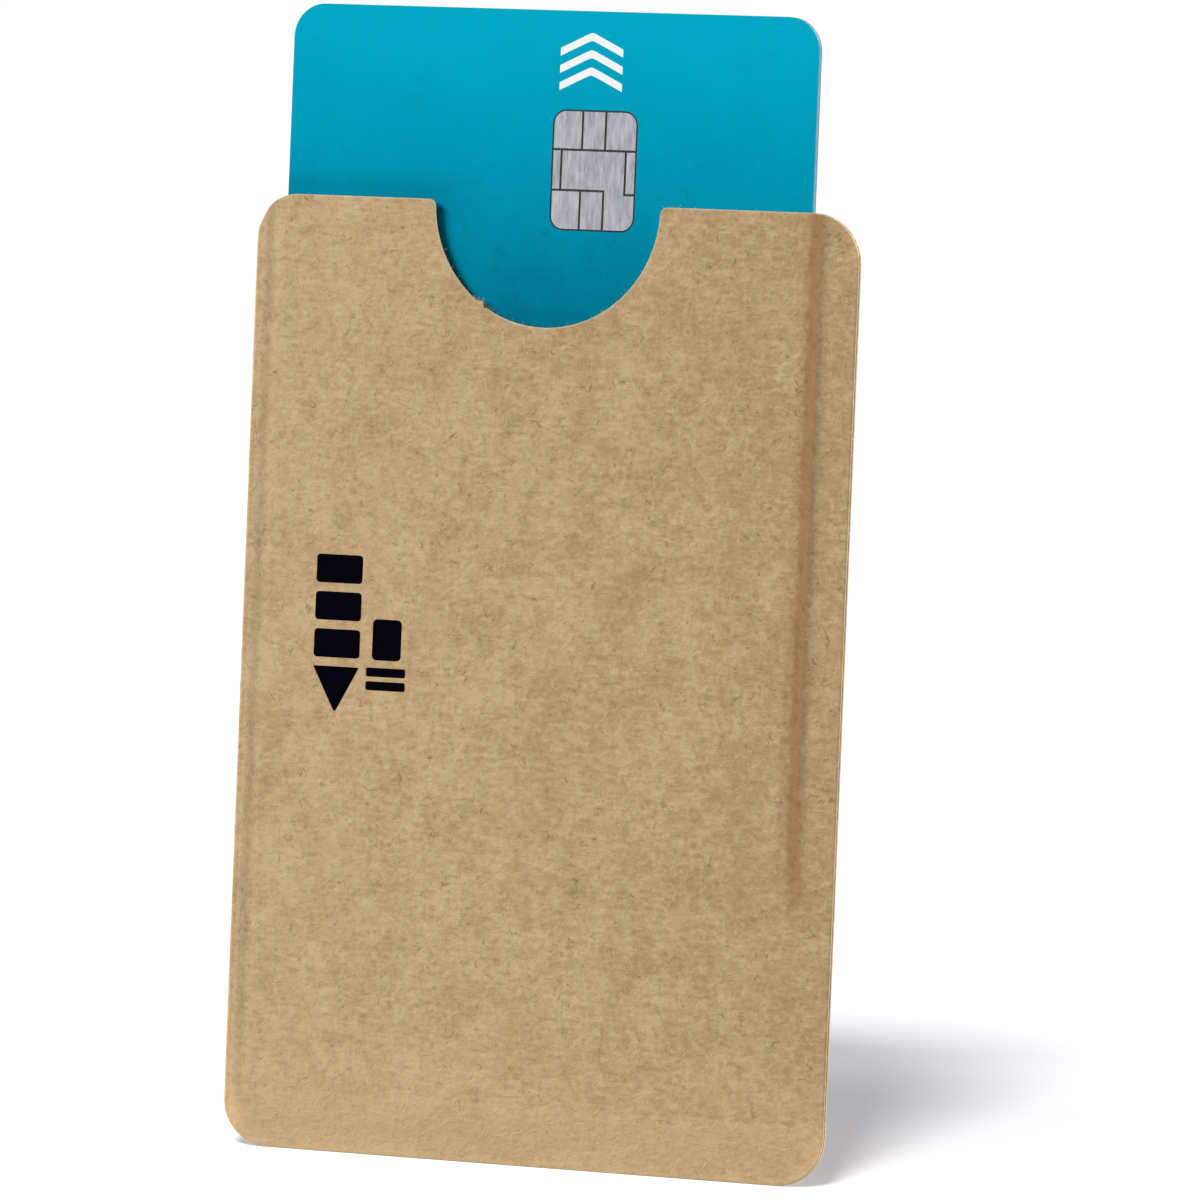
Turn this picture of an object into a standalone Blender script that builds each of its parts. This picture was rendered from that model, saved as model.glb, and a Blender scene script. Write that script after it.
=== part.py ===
"""A kraft card sleeve with a smart card standing part way out of its mouth.

The sleeve stands upright: X runs across it, Y from its front to its back, and Z from its
bottom edge to its open mouth. The origin is at the middle of the bottom edge. All sizes
are in metres. One sheet of board, lined with foil, is folded at the left edge and sealed
down the right edge and along the bottom, so the front stands off the back as a shallow
tray that the card slides in.
"""

import math

import bmesh
import bpy
from mathutils import Vector

# Board, its foil liner and the glue that joins them
BOARD_THICKNESS = 0.00026
LINER_THICKNESS = 0.00003
GLUE_LINE = 0.00001
CREASE_GAP = 0.00001
SLEEVE_CORNER_RADIUS = 0.0047

# Sealed seams, with the slope that rises from each one to the front panel
SIDE_SEAM_WIDTH = 0.0032
BOTTOM_SEAM_HEIGHT = 0.0042
SEAM_SLOPE_RUN = 0.0011
FOLD_SLOPE_RUN = 0.00158
SEAL_THICKNESS = 0.00006
SEAL_MARGIN = 0.0003

# Room for the card inside the pocket
FRONT_CLEARANCE = 0.00042
BACK_CLEARANCE = 0.00010
FOLD_SIDE_CLEARANCE = 0.00146
SEAM_SIDE_CLEARANCE = 0.00036
FOOT_CLEARANCE = 0.0001

# Thumb notch in the front panel's mouth
NOTCH_RADIUS = 0.01155
NOTCH_DEPTH = 0.01175
NOTCH_LIP_RADIUS = 0.0007
NOTCH_OFFSET = 0.00025

# Card: a laminate of five plies, with how far it stands out of the mouth at rest
CARD_WIDTH = 0.05398
CARD_HEIGHT = 0.0856
CARD_CORNER_RADIUS = 0.00318
OVERLAY_THICKNESS = 0.00004
PRINT_THICKNESS = 0.00014
INLAY_THICKNESS = 0.00036
BOND_LINE = 0.00001
CARD_SHOWS = 0.0182

# Stripe and signature panel on the card's back, measured from its right and top edges
STRIPE_WIDTH = 0.0127
STRIPE_FROM_SIDE = 0.0040
SIGNATURE_WIDTH = 0.0100
SIGNATURE_LENGTH = 0.0600
SIGNATURE_FROM_STRIPE = 0.0030
SIGNATURE_FROM_TOP = 0.0080
FILM_THICKNESS = 0.00002

# Chip module: its centre from the card's right and top edges, then its own pieces
MODULE_FROM_SIDE = 0.0224
MODULE_FROM_TOP = 0.0150
MODULE_WIDTH = 0.0086
MODULE_HEIGHT = 0.0113
MODULE_CORNER_RADIUS = 0.0013
MODULE_FIT_GAP = 0.00005
CARRIER_THICKNESS = 0.00010
PAD_THICKNESS = 0.00003
PAD_RIM = 0.00010
PAD_ISOLATION = 0.00022
ADHESIVE_WIDTH = 0.0007
RESIN_SIDE_MARGIN = 0.0022
RESIN_WALL = 0.0010
RESIN_CORNER_RADIUS = 0.0009
RESIN_COVER = 0.00010
RESIN_EDGE_ROUND = 0.00008
DIE_THICKNESS = 0.00014

# Antenna: a flat wire coil in a groove of the inlay, joined to the module by two bumps
ANTENNA_TURNS = 4
ANTENNA_PITCH = 0.00045
ANTENNA_WIDTH = 0.00016
ANTENNA_THICKNESS = 0.00010
ANTENNA_EDGE_MARGIN = 0.0040
ANTENNA_BEND_RADIUS = 0.0024
ANTENNA_LAND_MARGIN = 0.0004
GROOVE_GAP = 0.00003
BUMP_RADIUS = 0.00016

# One overrun serves every cut that passes through a wall or an edge
OVERRUN = 0.0010

# How many straight pieces make each round stretch, where the fold is a quarter turn,
# and the angle in degrees under which the edge between two faces is shaded smooth
CORNER_STEPS = 9
NOTCH_STEPS = 30
LIP_STEPS = 5
FOLD_STEPS = 4
SMALL_STEPS = 5
BUMP_STEPS = 12
SMOOTH_ANGLE = 40

# The module's eight contact fields, as shares of its width from the left and of its
# height from the top. Each runs anticlockwise as the card's front is seen.
LEFT_SPLIT_SHARE = 0.35
RIGHT_SPLIT_SHARE = 0.626
LEFT_STRIP_SHARE = 0.11
RIGHT_STRIP_SHARE = 0.876
TOP_ROW_SHARE = 0.33
BOTTOM_ROW_SHARE = 0.668
FOOT_ROW_SHARE = 0.692
CONTACT_SHARES = {
    "contact_top_left": (
        (0, 0), (0, TOP_ROW_SHARE), (LEFT_SPLIT_SHARE, TOP_ROW_SHARE), (LEFT_SPLIT_SHARE, 0),
    ),
    "contact_top_middle": (
        (LEFT_SPLIT_SHARE, 0), (LEFT_SPLIT_SHARE, TOP_ROW_SHARE),
        (RIGHT_SPLIT_SHARE, TOP_ROW_SHARE), (RIGHT_SPLIT_SHARE, 0),
    ),
    "contact_top_right": (
        (RIGHT_SPLIT_SHARE, 0), (RIGHT_SPLIT_SHARE, TOP_ROW_SHARE), (1, TOP_ROW_SHARE), (1, 0),
    ),
    "contact_left_strip": (
        (0, TOP_ROW_SHARE), (0, BOTTOM_ROW_SHARE),
        (LEFT_STRIP_SHARE, BOTTOM_ROW_SHARE), (LEFT_STRIP_SHARE, TOP_ROW_SHARE),
    ),
    "contact_centre": (
        (LEFT_STRIP_SHARE, TOP_ROW_SHARE), (LEFT_STRIP_SHARE, BOTTOM_ROW_SHARE),
        (RIGHT_SPLIT_SHARE, BOTTOM_ROW_SHARE), (RIGHT_SPLIT_SHARE, 1), (1, 1),
        (1, FOOT_ROW_SHARE), (RIGHT_STRIP_SHARE, FOOT_ROW_SHARE),
        (RIGHT_STRIP_SHARE, TOP_ROW_SHARE),
    ),
    "contact_right_strip": (
        (RIGHT_STRIP_SHARE, TOP_ROW_SHARE), (RIGHT_STRIP_SHARE, FOOT_ROW_SHARE),
        (1, FOOT_ROW_SHARE), (1, TOP_ROW_SHARE),
    ),
    "contact_bottom_left": (
        (0, BOTTOM_ROW_SHARE), (0, 1), (LEFT_SPLIT_SHARE, 1), (LEFT_SPLIT_SHARE, BOTTOM_ROW_SHARE),
    ),
    "contact_bottom_middle": (
        (LEFT_SPLIT_SHARE, BOTTOM_ROW_SHARE), (LEFT_SPLIT_SHARE, 1),
        (RIGHT_SPLIT_SHARE, 1), (RIGHT_SPLIT_SHARE, BOTTOM_ROW_SHARE),
    ),
}

# Finish of each piece: colour, roughness, metallic
KRAFT = ((0.47, 0.32, 0.17), 0.9, 0.0)
FOIL = ((0.80, 0.81, 0.83), 0.35, 1.0)
SEALANT = ((0.83, 0.79, 0.66), 0.6, 0.0)
BLUE_PRINT = ((0.0, 0.33, 0.51), 0.35, 0.0)
CLEAR_FILM = ((0.05, 0.42, 0.60), 0.2, 0.0)
WHITE_PLASTIC = ((0.80, 0.80, 0.78), 0.5, 0.0)
BLACK_FILM = ((0.02, 0.02, 0.022), 0.4, 0.0)
PALE_FILM = ((0.86, 0.86, 0.83), 0.8, 0.0)
CONTACT_METAL = ((0.62, 0.62, 0.63), 0.3, 1.0)
CARRIER_TAPE = ((0.10, 0.11, 0.10), 0.6, 0.0)
SILICON = ((0.20, 0.21, 0.24), 0.25, 0.6)
RESIN = ((0.03, 0.03, 0.03), 0.45, 0.0)
COPPER = ((0.72, 0.38, 0.22), 0.35, 1.0)

# Depths, from the sleeve's front face back
card_thickness = 2 * OVERLAY_THICKNESS + 2 * PRINT_THICKNESS + INLAY_THICKNESS + 4 * BOND_LINE
wall_depth = BOARD_THICKNESS + GLUE_LINE + LINER_THICKNESS
sleeve_thickness = 2 * wall_depth + FRONT_CLEARANCE + card_thickness + BACK_CLEARANCE
seam_thickness = 2 * BOARD_THICKNESS + LINER_THICKNESS + SEAL_THICKNESS + 3 * GLUE_LINE
front_y = -sleeve_thickness / 2
back_y = sleeve_thickness / 2
card_front_y = front_y + wall_depth + FRONT_CLEARANCE
seam_front_y = back_y - seam_thickness
front_board_middle_y = front_y + BOARD_THICKNESS / 2
seam_board_middle_y = seam_front_y + BOARD_THICKNESS / 2
back_board_middle_y = back_y - BOARD_THICKNESS / 2
front_liner_y = front_y + BOARD_THICKNESS + GLUE_LINE
back_liner_y = back_y - wall_depth
seal_y = back_liner_y - GLUE_LINE - SEAL_THICKNESS

# Widths: the pocket is made round the card, and the seams round the pocket
fold_radius = seam_thickness / 2
pocket_width = FOLD_SIDE_CLEARANCE + CARD_WIDTH + SEAM_SIDE_CLEARANCE
sleeve_width = fold_radius + FOLD_SLOPE_RUN + pocket_width + SEAM_SLOPE_RUN + SIDE_SEAM_WIDTH
left_x = -sleeve_width / 2
right_x = sleeve_width / 2
fold_x = left_x + fold_radius
left_crease_x = fold_x + FOLD_SLOPE_RUN
right_crease_x = left_crease_x + pocket_width
seam_x = right_crease_x + SEAM_SLOPE_RUN
card_x = left_crease_x + FOLD_SIDE_CLEARANCE + CARD_WIDTH / 2
notch_x = card_x + NOTCH_OFFSET

# Heights: the card is flush with the mouth when its foot is down on the bottom crease
bottom_crease_z = BOTTOM_SEAM_HEIGHT + SEAM_SLOPE_RUN
mouth_z = bottom_crease_z + FOOT_CLEARANCE + CARD_HEIGHT
card_foot_z = mouth_z + CARD_SHOWS - CARD_HEIGHT

# Where the sleeve's cutters end, just past it on every side
past_left, past_right = left_x - OVERRUN, right_x + OVERRUN
past_front, past_back = front_y - OVERRUN, back_y + OVERRUN
below, above = -OVERRUN, mouth_z + OVERRUN

# The card's own frame: X from its middle, Y back from its front face, Z up from its foot
card_right = CARD_WIDTH / 2
print_front = OVERLAY_THICKNESS + BOND_LINE
inlay_front = print_front + PRINT_THICKNESS + BOND_LINE
back_print_front = inlay_front + INLAY_THICKNESS + BOND_LINE
back_overlay_front = back_print_front + PRINT_THICKNESS + BOND_LINE
module_x = card_right - MODULE_FROM_SIDE
module_z = CARD_HEIGHT - MODULE_FROM_TOP
carrier_front = PAD_THICKNESS + GLUE_LINE
carrier_back = carrier_front + CARRIER_THICKNESS
resin_depth = DIE_THICKNESS + RESIN_COVER

# Behind the carrier the coil's turns pass between the glue frame and the resin
land_height = ANTENNA_TURNS * ANTENNA_PITCH + 2 * ANTENNA_LAND_MARGIN
resin_width = MODULE_WIDTH - 2 * RESIN_SIDE_MARGIN
resin_height = MODULE_HEIGHT - 2 * (ADHESIVE_WIDTH + land_height)
die_width = resin_width - 2 * RESIN_WALL
die_height = resin_height - 2 * RESIN_WALL
coil_top = module_z + MODULE_HEIGHT / 2 - ADHESIVE_WIDTH - ANTENNA_LAND_MARGIN
coil_side = card_right - ANTENNA_EDGE_MARGIN


def clear_scene():
    """Removes whatever the scene holds."""
    for found in list(bpy.data.objects):
        bpy.data.objects.remove(found)


def arc(centre, radius, start, end, steps):
    """Points on a circle from one angle to another in degrees, with both ends."""
    turns = [math.radians(start + (end - start) * i / steps) for i in range(steps + 1)]
    return [(centre[0] + radius * math.cos(t), centre[1] + radius * math.sin(t)) for t in turns]


def rectangle(left, right, bottom, top):
    """Outline of a rectangle, anticlockwise."""
    return [(left, bottom), (right, bottom), (right, top), (left, top)]


def rounded_rectangle(left, right, bottom, top, radius, steps):
    """Outline of a rectangle with round corners, anticlockwise."""
    points = arc((right - radius, bottom + radius), radius, -90, 0, steps)
    points += arc((right - radius, top - radius), radius, 0, 90, steps)
    points += arc((left + radius, top - radius), radius, 90, 180, steps)
    points += arc((left + radius, bottom + radius), radius, 180, 270, steps)
    return points


def offset_path(path, distance):
    """An open path moved to its left by a distance, with mitred corners."""
    points = [Vector(point) for point in path]
    runs = [(b - a).normalized() for a, b in zip(points, points[1:])]
    moved = []
    for point, before, after in zip(points, [runs[0], *runs], [*runs, runs[-1]]):
        along = (before + after).normalized()
        sideways = Vector((-along.y, along.x))
        moved.append(point + sideways * distance / along.dot(before))
    return moved


def inset_outline(outline, distance):
    """A closed anticlockwise outline drawn in on all sides, with mitred corners."""
    around = [outline[-1], *outline, outline[0]]
    return [tuple(point) for point in offset_path(around, distance)[1:-1]]


def rounded_path(corners, radius, steps):
    """An open path of straight runs at right angles, with each corner made an arc."""
    points = [Vector(corners[0])]
    for before, corner, after in zip(corners, corners[1:], corners[2:]):
        inward = (Vector(before) - Vector(corner)).normalized() * radius
        outward = (Vector(after) - Vector(corner)).normalized() * radius
        centre = Vector(corner) + inward + outward
        for i in range(steps + 1):
            turn = math.radians(90) * i / steps
            points.append(centre - outward * math.cos(turn) - inward * math.sin(turn))
    return [*points, Vector(corners[-1])]


def upright(across, depth, height):
    """A cross-section in X and Y, carried up Z."""
    return (across, depth, height)


def sideways(height, depth, across):
    """A cross-section in Z and Y, carried along X."""
    return (across, depth, height)


def inward(across, height, depth):
    """A plan in X and Z, carried back along Y."""
    return (across, depth, height)


def finished_mesh(name, shape):
    """A mesh with its faces turned outwards and its round stretches shaded smooth."""
    bmesh.ops.recalc_face_normals(shape, faces=shape.faces)
    mesh = bpy.data.meshes.new(name)
    shape.to_mesh(mesh)
    shape.free()
    mesh.shade_smooth()
    mesh.set_sharp_from_angle(angle=math.radians(SMOOTH_ANGLE))
    return mesh


def prism(name, outline, start, end, place=inward):
    """The outline filled in at one end and extruded to the other."""
    shape = bmesh.new()
    face = shape.faces.new([shape.verts.new(place(a, b, start)) for a, b in outline])
    grown = bmesh.ops.extrude_face_region(shape, geom=[face])["geom"]
    moved = [item for item in grown if isinstance(item, bmesh.types.BMVert)]
    bmesh.ops.translate(shape, verts=moved, vec=Vector(place(0, 0, end - start)))
    return finished_mesh(name, shape)


def strip(name, path, width, start, end, place):
    """A band of one width that follows a path, extruded from one end to the other."""
    left, right = offset_path(path, width / 2), offset_path(path, -width / 2)
    shape = bmesh.new()
    rings = [
        [shape.verts.new(place(*point, level)) for point, level in
         ((a, start), (b, start), (b, end), (a, end))]
        for a, b in zip(left, right)
    ]
    for near, far in zip(rings, rings[1:]):
        for i, j in ((0, 1), (1, 2), (2, 3), (3, 0)):
            shape.faces.new((near[i], near[j], far[j], far[i]))
    shape.faces.new(rings[0])
    shape.faces.new(rings[-1])
    return finished_mesh(name, shape)


def add_empty(name, location):
    """An empty that carries the pieces which move together."""
    empty = bpy.data.objects.new(name, None)
    empty.location = location
    bpy.context.collection.objects.link(empty)
    return empty


def add_piece(mesh, finish, parent):
    """A piece of the object, named after its mesh, with a material of its own."""
    colour, roughness, metallic = finish
    material = bpy.data.materials.new(mesh.name)
    material.use_nodes = True
    shader = material.node_tree.nodes["Principled BSDF"]
    shader.inputs["Base Color"].default_value = (*colour, 1)
    shader.inputs["Roughness"].default_value = roughness
    shader.inputs["Metallic"].default_value = metallic
    mesh.materials.append(material)
    piece = bpy.data.objects.new(mesh.name, mesh)
    piece.parent = parent
    bpy.context.collection.objects.link(piece)
    return piece


def add_cutter(mesh, parent):
    """A helper solid for Boolean cuts, which isn't part of the object."""
    cutter = bpy.data.objects.new(mesh.name, mesh)
    cutter.parent = parent
    cutter.hide_render = True
    cutter.display_type = "WIRE"
    bpy.context.collection.objects.link(cutter)
    return cutter


def cut(piece, cutter, operation="DIFFERENCE"):
    """Takes the cutter out of the piece, or keeps only what is inside it."""
    modifier = piece.modifiers.new(cutter.name, "BOOLEAN")
    modifier.operation = operation
    modifier.solver = "EXACT"
    modifier.object = cutter


def notch_outline():
    """The thumb notch: a half round with a rolled lip at each side of the mouth."""
    centre_z = mouth_z - NOTCH_DEPTH + NOTCH_RADIUS
    lip_z = mouth_z - NOTCH_LIP_RADIUS
    reach = NOTCH_RADIUS + NOTCH_LIP_RADIUS
    lip_x = math.sqrt(reach**2 - (lip_z - centre_z) ** 2)
    lean = math.degrees(math.asin((lip_z - centre_z) / reach))
    left_lip, right_lip = (notch_x - lip_x, lip_z), (notch_x + lip_x, lip_z)
    points = arc(left_lip, NOTCH_LIP_RADIUS, 90, -lean, LIP_STEPS)
    points += arc((notch_x, centre_z), NOTCH_RADIUS, 180 - lean, 360 + lean, NOTCH_STEPS)[1:-1]
    points += arc(right_lip, NOTCH_LIP_RADIUS, 180 + lean, 90, LIP_STEPS)
    return [*points, (right_lip[0], mouth_z + OVERRUN), (left_lip[0], mouth_z + OVERRUN)]


def sleeve_outline(inset):
    """The die-cut outline of the whole sleeve, drawn in by an inset."""
    return rounded_rectangle(
        left_x + inset, right_x - inset, inset, mouth_z - inset,
        SLEEVE_CORNER_RADIUS - inset, CORNER_STEPS,
    )


def add_sleeve_die(name, inset, sleeve):
    """A cutter that keeps what lies inside the sleeve's outline, drawn in by an inset."""
    return add_cutter(prism(name, sleeve_outline(inset), past_front, past_back), sleeve)


def build_panels(sleeve, die):
    """The front panel with its thumb notch, the back panel, and the foil inside each."""
    notch = add_cutter(prism("notch_die", notch_outline(), past_front, past_back), sleeve)
    front_plan = rectangle(
        left_crease_x + CREASE_GAP, right_crease_x - CREASE_GAP,
        bottom_crease_z + CREASE_GAP, above,
    )
    back_plan = rectangle(fold_x + CREASE_GAP, past_right, below, above)
    for name, plan, start, thickness, finish in (
        ("front_panel", front_plan, front_y, BOARD_THICKNESS, KRAFT),
        ("front_liner", front_plan, front_liner_y, LINER_THICKNESS, FOIL),
        ("back_panel", back_plan, back_y - BOARD_THICKNESS, BOARD_THICKNESS, KRAFT),
        ("back_liner", back_plan, back_liner_y, LINER_THICKNESS, FOIL),
    ):
        panel = add_piece(prism(name, plan, start, start + thickness), finish, sleeve)
        cut(panel, die, "INTERSECT")
        if plan is front_plan:
            cut(panel, notch)


def add_bent_board(name, path, place, plan, die, sleeve):
    """A stretch of board that follows a bent path, kept to its own plan and to the die."""
    start, end = (past_left, past_right) if place is sideways else (below, above)
    board = add_piece(strip(name, path, BOARD_THICKNESS, start, end, place), KRAFT, sleeve)
    plan_die = prism(name + "_plan", plan, past_front, past_back)
    cut(board, add_cutter(plan_die, sleeve), "INTERSECT")
    cut(board, die, "INTERSECT")


def build_fold(sleeve, die):
    """The left edge: a slope down from the front panel, then a half turn to the back."""
    crease = (left_crease_x, front_board_middle_y)
    turn_centre = (fold_x, back_y - fold_radius)
    turn_radius = fold_radius - BOARD_THICKNESS / 2
    slope_path = [
        (left_crease_x + OVERRUN, front_board_middle_y), crease,
        *arc(turn_centre, turn_radius, -90, -180, FOLD_STEPS),
    ]
    slope_plan = [
        (fold_x + CREASE_GAP, BOTTOM_SEAM_HEIGHT), (left_crease_x, bottom_crease_z),
        (left_crease_x, above), (fold_x + CREASE_GAP, above),
    ]
    bend_path = [
        crease, *arc(turn_centre, turn_radius, -90, -270, 2 * FOLD_STEPS),
        (fold_x + OVERRUN, back_board_middle_y),
    ]
    bend_plan = rectangle(past_left, fold_x, below, above)
    add_bent_board("fold_slope", slope_path, upright, slope_plan, die, sleeve)
    add_bent_board("fold_bend", bend_path, upright, bend_plan, die, sleeve)


def build_seams(sleeve, die):
    """The side and the bottom: each a slope down from the front panel and a flat band."""
    side_path = [
        (right_crease_x - OVERRUN, front_board_middle_y),
        (right_crease_x, front_board_middle_y),
        (seam_x, seam_board_middle_y),
        (past_right, seam_board_middle_y),
    ]
    side_slope_plan = [
        (right_crease_x, bottom_crease_z), (seam_x, BOTTOM_SEAM_HEIGHT),
        (seam_x, above), (right_crease_x, above),
    ]
    side_flange_plan = rectangle(seam_x + CREASE_GAP, past_right, BOTTOM_SEAM_HEIGHT, above)
    add_bent_board("side_slope", side_path, upright, side_slope_plan, die, sleeve)
    add_bent_board("side_flange", side_path, upright, side_flange_plan, die, sleeve)

    bottom_path = [
        (bottom_crease_z + OVERRUN, front_board_middle_y),
        (bottom_crease_z, front_board_middle_y),
        (BOTTOM_SEAM_HEIGHT, seam_board_middle_y),
        (below, seam_board_middle_y),
    ]
    bottom_slope_plan = [
        (fold_x + 2 * CREASE_GAP, BOTTOM_SEAM_HEIGHT), (seam_x - CREASE_GAP, BOTTOM_SEAM_HEIGHT),
        (right_crease_x - CREASE_GAP, bottom_crease_z),
        (left_crease_x + CREASE_GAP, bottom_crease_z),
    ]
    bottom_flange_plan = rectangle(
        fold_x + CREASE_GAP, past_right, below, BOTTOM_SEAM_HEIGHT - CREASE_GAP
    )
    add_bent_board("bottom_slope", bottom_path, sideways, bottom_slope_plan, die, sleeve)
    add_bent_board("bottom_flange", bottom_path, sideways, bottom_flange_plan, die, sleeve)


def build_seals(sleeve):
    """The adhesive in each seam, a little short of the sleeve's edge."""
    die = add_sleeve_die("seal_die", SEAL_MARGIN, sleeve)
    side_plan = rectangle(seam_x + SEAL_MARGIN, past_right, BOTTOM_SEAM_HEIGHT, above)
    bottom_plan = rectangle(
        fold_x + CREASE_GAP, past_right, below, BOTTOM_SEAM_HEIGHT - SEAL_MARGIN
    )
    for name, plan in (("side_seal", side_plan), ("bottom_seal", bottom_plan)):
        seal = add_piece(prism(name, plan, seal_y, seal_y + SEAL_THICKNESS), SEALANT, sleeve)
        cut(seal, die, "INTERSECT")


def build_sleeve():
    """The folded sheet, its foil liner and its two seals."""
    sleeve = add_empty("sleeve_origin", (0, 0, 0))
    die = add_sleeve_die("sleeve_die", 0, sleeve)
    build_panels(sleeve, die)
    build_fold(sleeve, die)
    build_seams(sleeve, die)
    build_seals(sleeve)


def module_outline(inset):
    """The chip module's outline, drawn in by an inset, or let out if that is negative."""
    half_width, half_height = MODULE_WIDTH / 2 - inset, MODULE_HEIGHT / 2 - inset
    return rounded_rectangle(
        module_x - half_width, module_x + half_width, module_z - half_height,
        module_z + half_height, MODULE_CORNER_RADIUS - inset, SMALL_STEPS,
    )


def resin_outline(margin):
    """The chip resin's outline, let out by a margin."""
    half_width, half_height = resin_width / 2 + margin, resin_height / 2 + margin
    return rounded_rectangle(
        module_x - half_width, module_x + half_width, module_z - half_height,
        module_z + half_height, RESIN_CORNER_RADIUS + margin, SMALL_STEPS,
    )


def die_outline(margin):
    """The silicon die's outline, let out by a margin."""
    half_width, half_height = die_width / 2 + margin, die_height / 2 + margin
    return rectangle(
        module_x - half_width, module_x + half_width,
        module_z - half_height, module_z + half_height,
    )


def coil_path(past_ends):
    """The antenna's route: each turn lies one pitch inside the last, and both ends lie
    under the module, the outer one above the inner one."""
    corners = [(module_x - past_ends, coil_top)]
    for turn in range(ANTENNA_TURNS):
        drawn_in = turn * ANTENNA_PITCH
        corners += [
            (coil_side - drawn_in, coil_top - drawn_in),
            (coil_side - drawn_in, ANTENNA_EDGE_MARGIN + drawn_in),
            (drawn_in - coil_side, ANTENNA_EDGE_MARGIN + drawn_in),
            (drawn_in - coil_side, coil_top - drawn_in - ANTENNA_PITCH),
        ]
    corners.append((module_x + past_ends, coil_top - ANTENNA_TURNS * ANTENNA_PITCH))
    return rounded_path(corners, ANTENNA_BEND_RADIUS, SMALL_STEPS)


def build_card_plies(card):
    """The five plies, with the openings that the module and the antenna need."""
    outline = rounded_rectangle(
        -card_right, card_right, 0, CARD_HEIGHT, CARD_CORNER_RADIUS, CORNER_STEPS
    )
    plies = {}
    for name, start, thickness, finish in (
        ("front_overlay", 0, OVERLAY_THICKNESS, CLEAR_FILM),
        ("front_print", print_front, PRINT_THICKNESS, BLUE_PRINT),
        ("antenna_inlay", inlay_front, INLAY_THICKNESS, WHITE_PLASTIC),
        ("back_print", back_print_front, PRINT_THICKNESS, BLUE_PRINT),
        ("back_overlay", back_overlay_front, OVERLAY_THICKNESS, CLEAR_FILM),
    ):
        plies[name] = add_piece(prism(name, outline, start, start + thickness), finish, card)

    window = add_cutter(
        prism("module_window", module_outline(-MODULE_FIT_GAP), -OVERRUN, inlay_front), card
    )
    cut(plies["front_overlay"], window)
    cut(plies["front_print"], window)
    cavity = prism(
        "resin_cavity", resin_outline(MODULE_FIT_GAP), -OVERRUN,
        carrier_back + GLUE_LINE + resin_depth + MODULE_FIT_GAP,
    )
    cut(plies["antenna_inlay"], add_cutter(cavity, card))
    groove = strip(
        "antenna_groove", coil_path(BUMP_RADIUS + GROOVE_GAP), ANTENNA_WIDTH + 2 * GROOVE_GAP,
        -OVERRUN, inlay_front + ANTENNA_THICKNESS + GROOVE_GAP, inward,
    )
    cut(plies["antenna_inlay"], add_cutter(groove, card))


def build_card_back(card):
    """The magnetic stripe and the signature panel on the back overlay."""
    film_front = card_thickness + BOND_LINE
    stripe_right = card_right - STRIPE_FROM_SIDE
    stripe_left = stripe_right - STRIPE_WIDTH
    signature_right = stripe_left - SIGNATURE_FROM_STRIPE
    signature_top = CARD_HEIGHT - SIGNATURE_FROM_TOP
    stripe = rectangle(stripe_left, stripe_right, 0, CARD_HEIGHT)
    signature = rectangle(
        signature_right - SIGNATURE_WIDTH, signature_right,
        signature_top - SIGNATURE_LENGTH, signature_top,
    )
    for name, outline, finish in (
        ("magnetic_stripe", stripe, BLACK_FILM),
        ("signature_panel", signature, PALE_FILM),
    ):
        add_piece(prism(name, outline, film_front, film_front + FILM_THICKNESS), finish, card)


def build_antenna(card):
    """The coil in its groove, and the bump on each of its ends."""
    coil = strip(
        "antenna_coil", coil_path(BUMP_RADIUS), ANTENNA_WIDTH,
        inlay_front, inlay_front + ANTENNA_THICKNESS, inward,
    )
    add_piece(coil, COPPER, card)
    for name, height in (
        ("outer_antenna_bump", coil_top),
        ("inner_antenna_bump", coil_top - ANTENNA_TURNS * ANTENNA_PITCH),
    ):
        outline = arc((module_x, height), BUMP_RADIUS, 0, 360, BUMP_STEPS)[:-1]
        bump = prism(name, outline, carrier_back + GLUE_LINE, inlay_front - GLUE_LINE)
        add_piece(bump, CONTACT_METAL, card)


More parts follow.
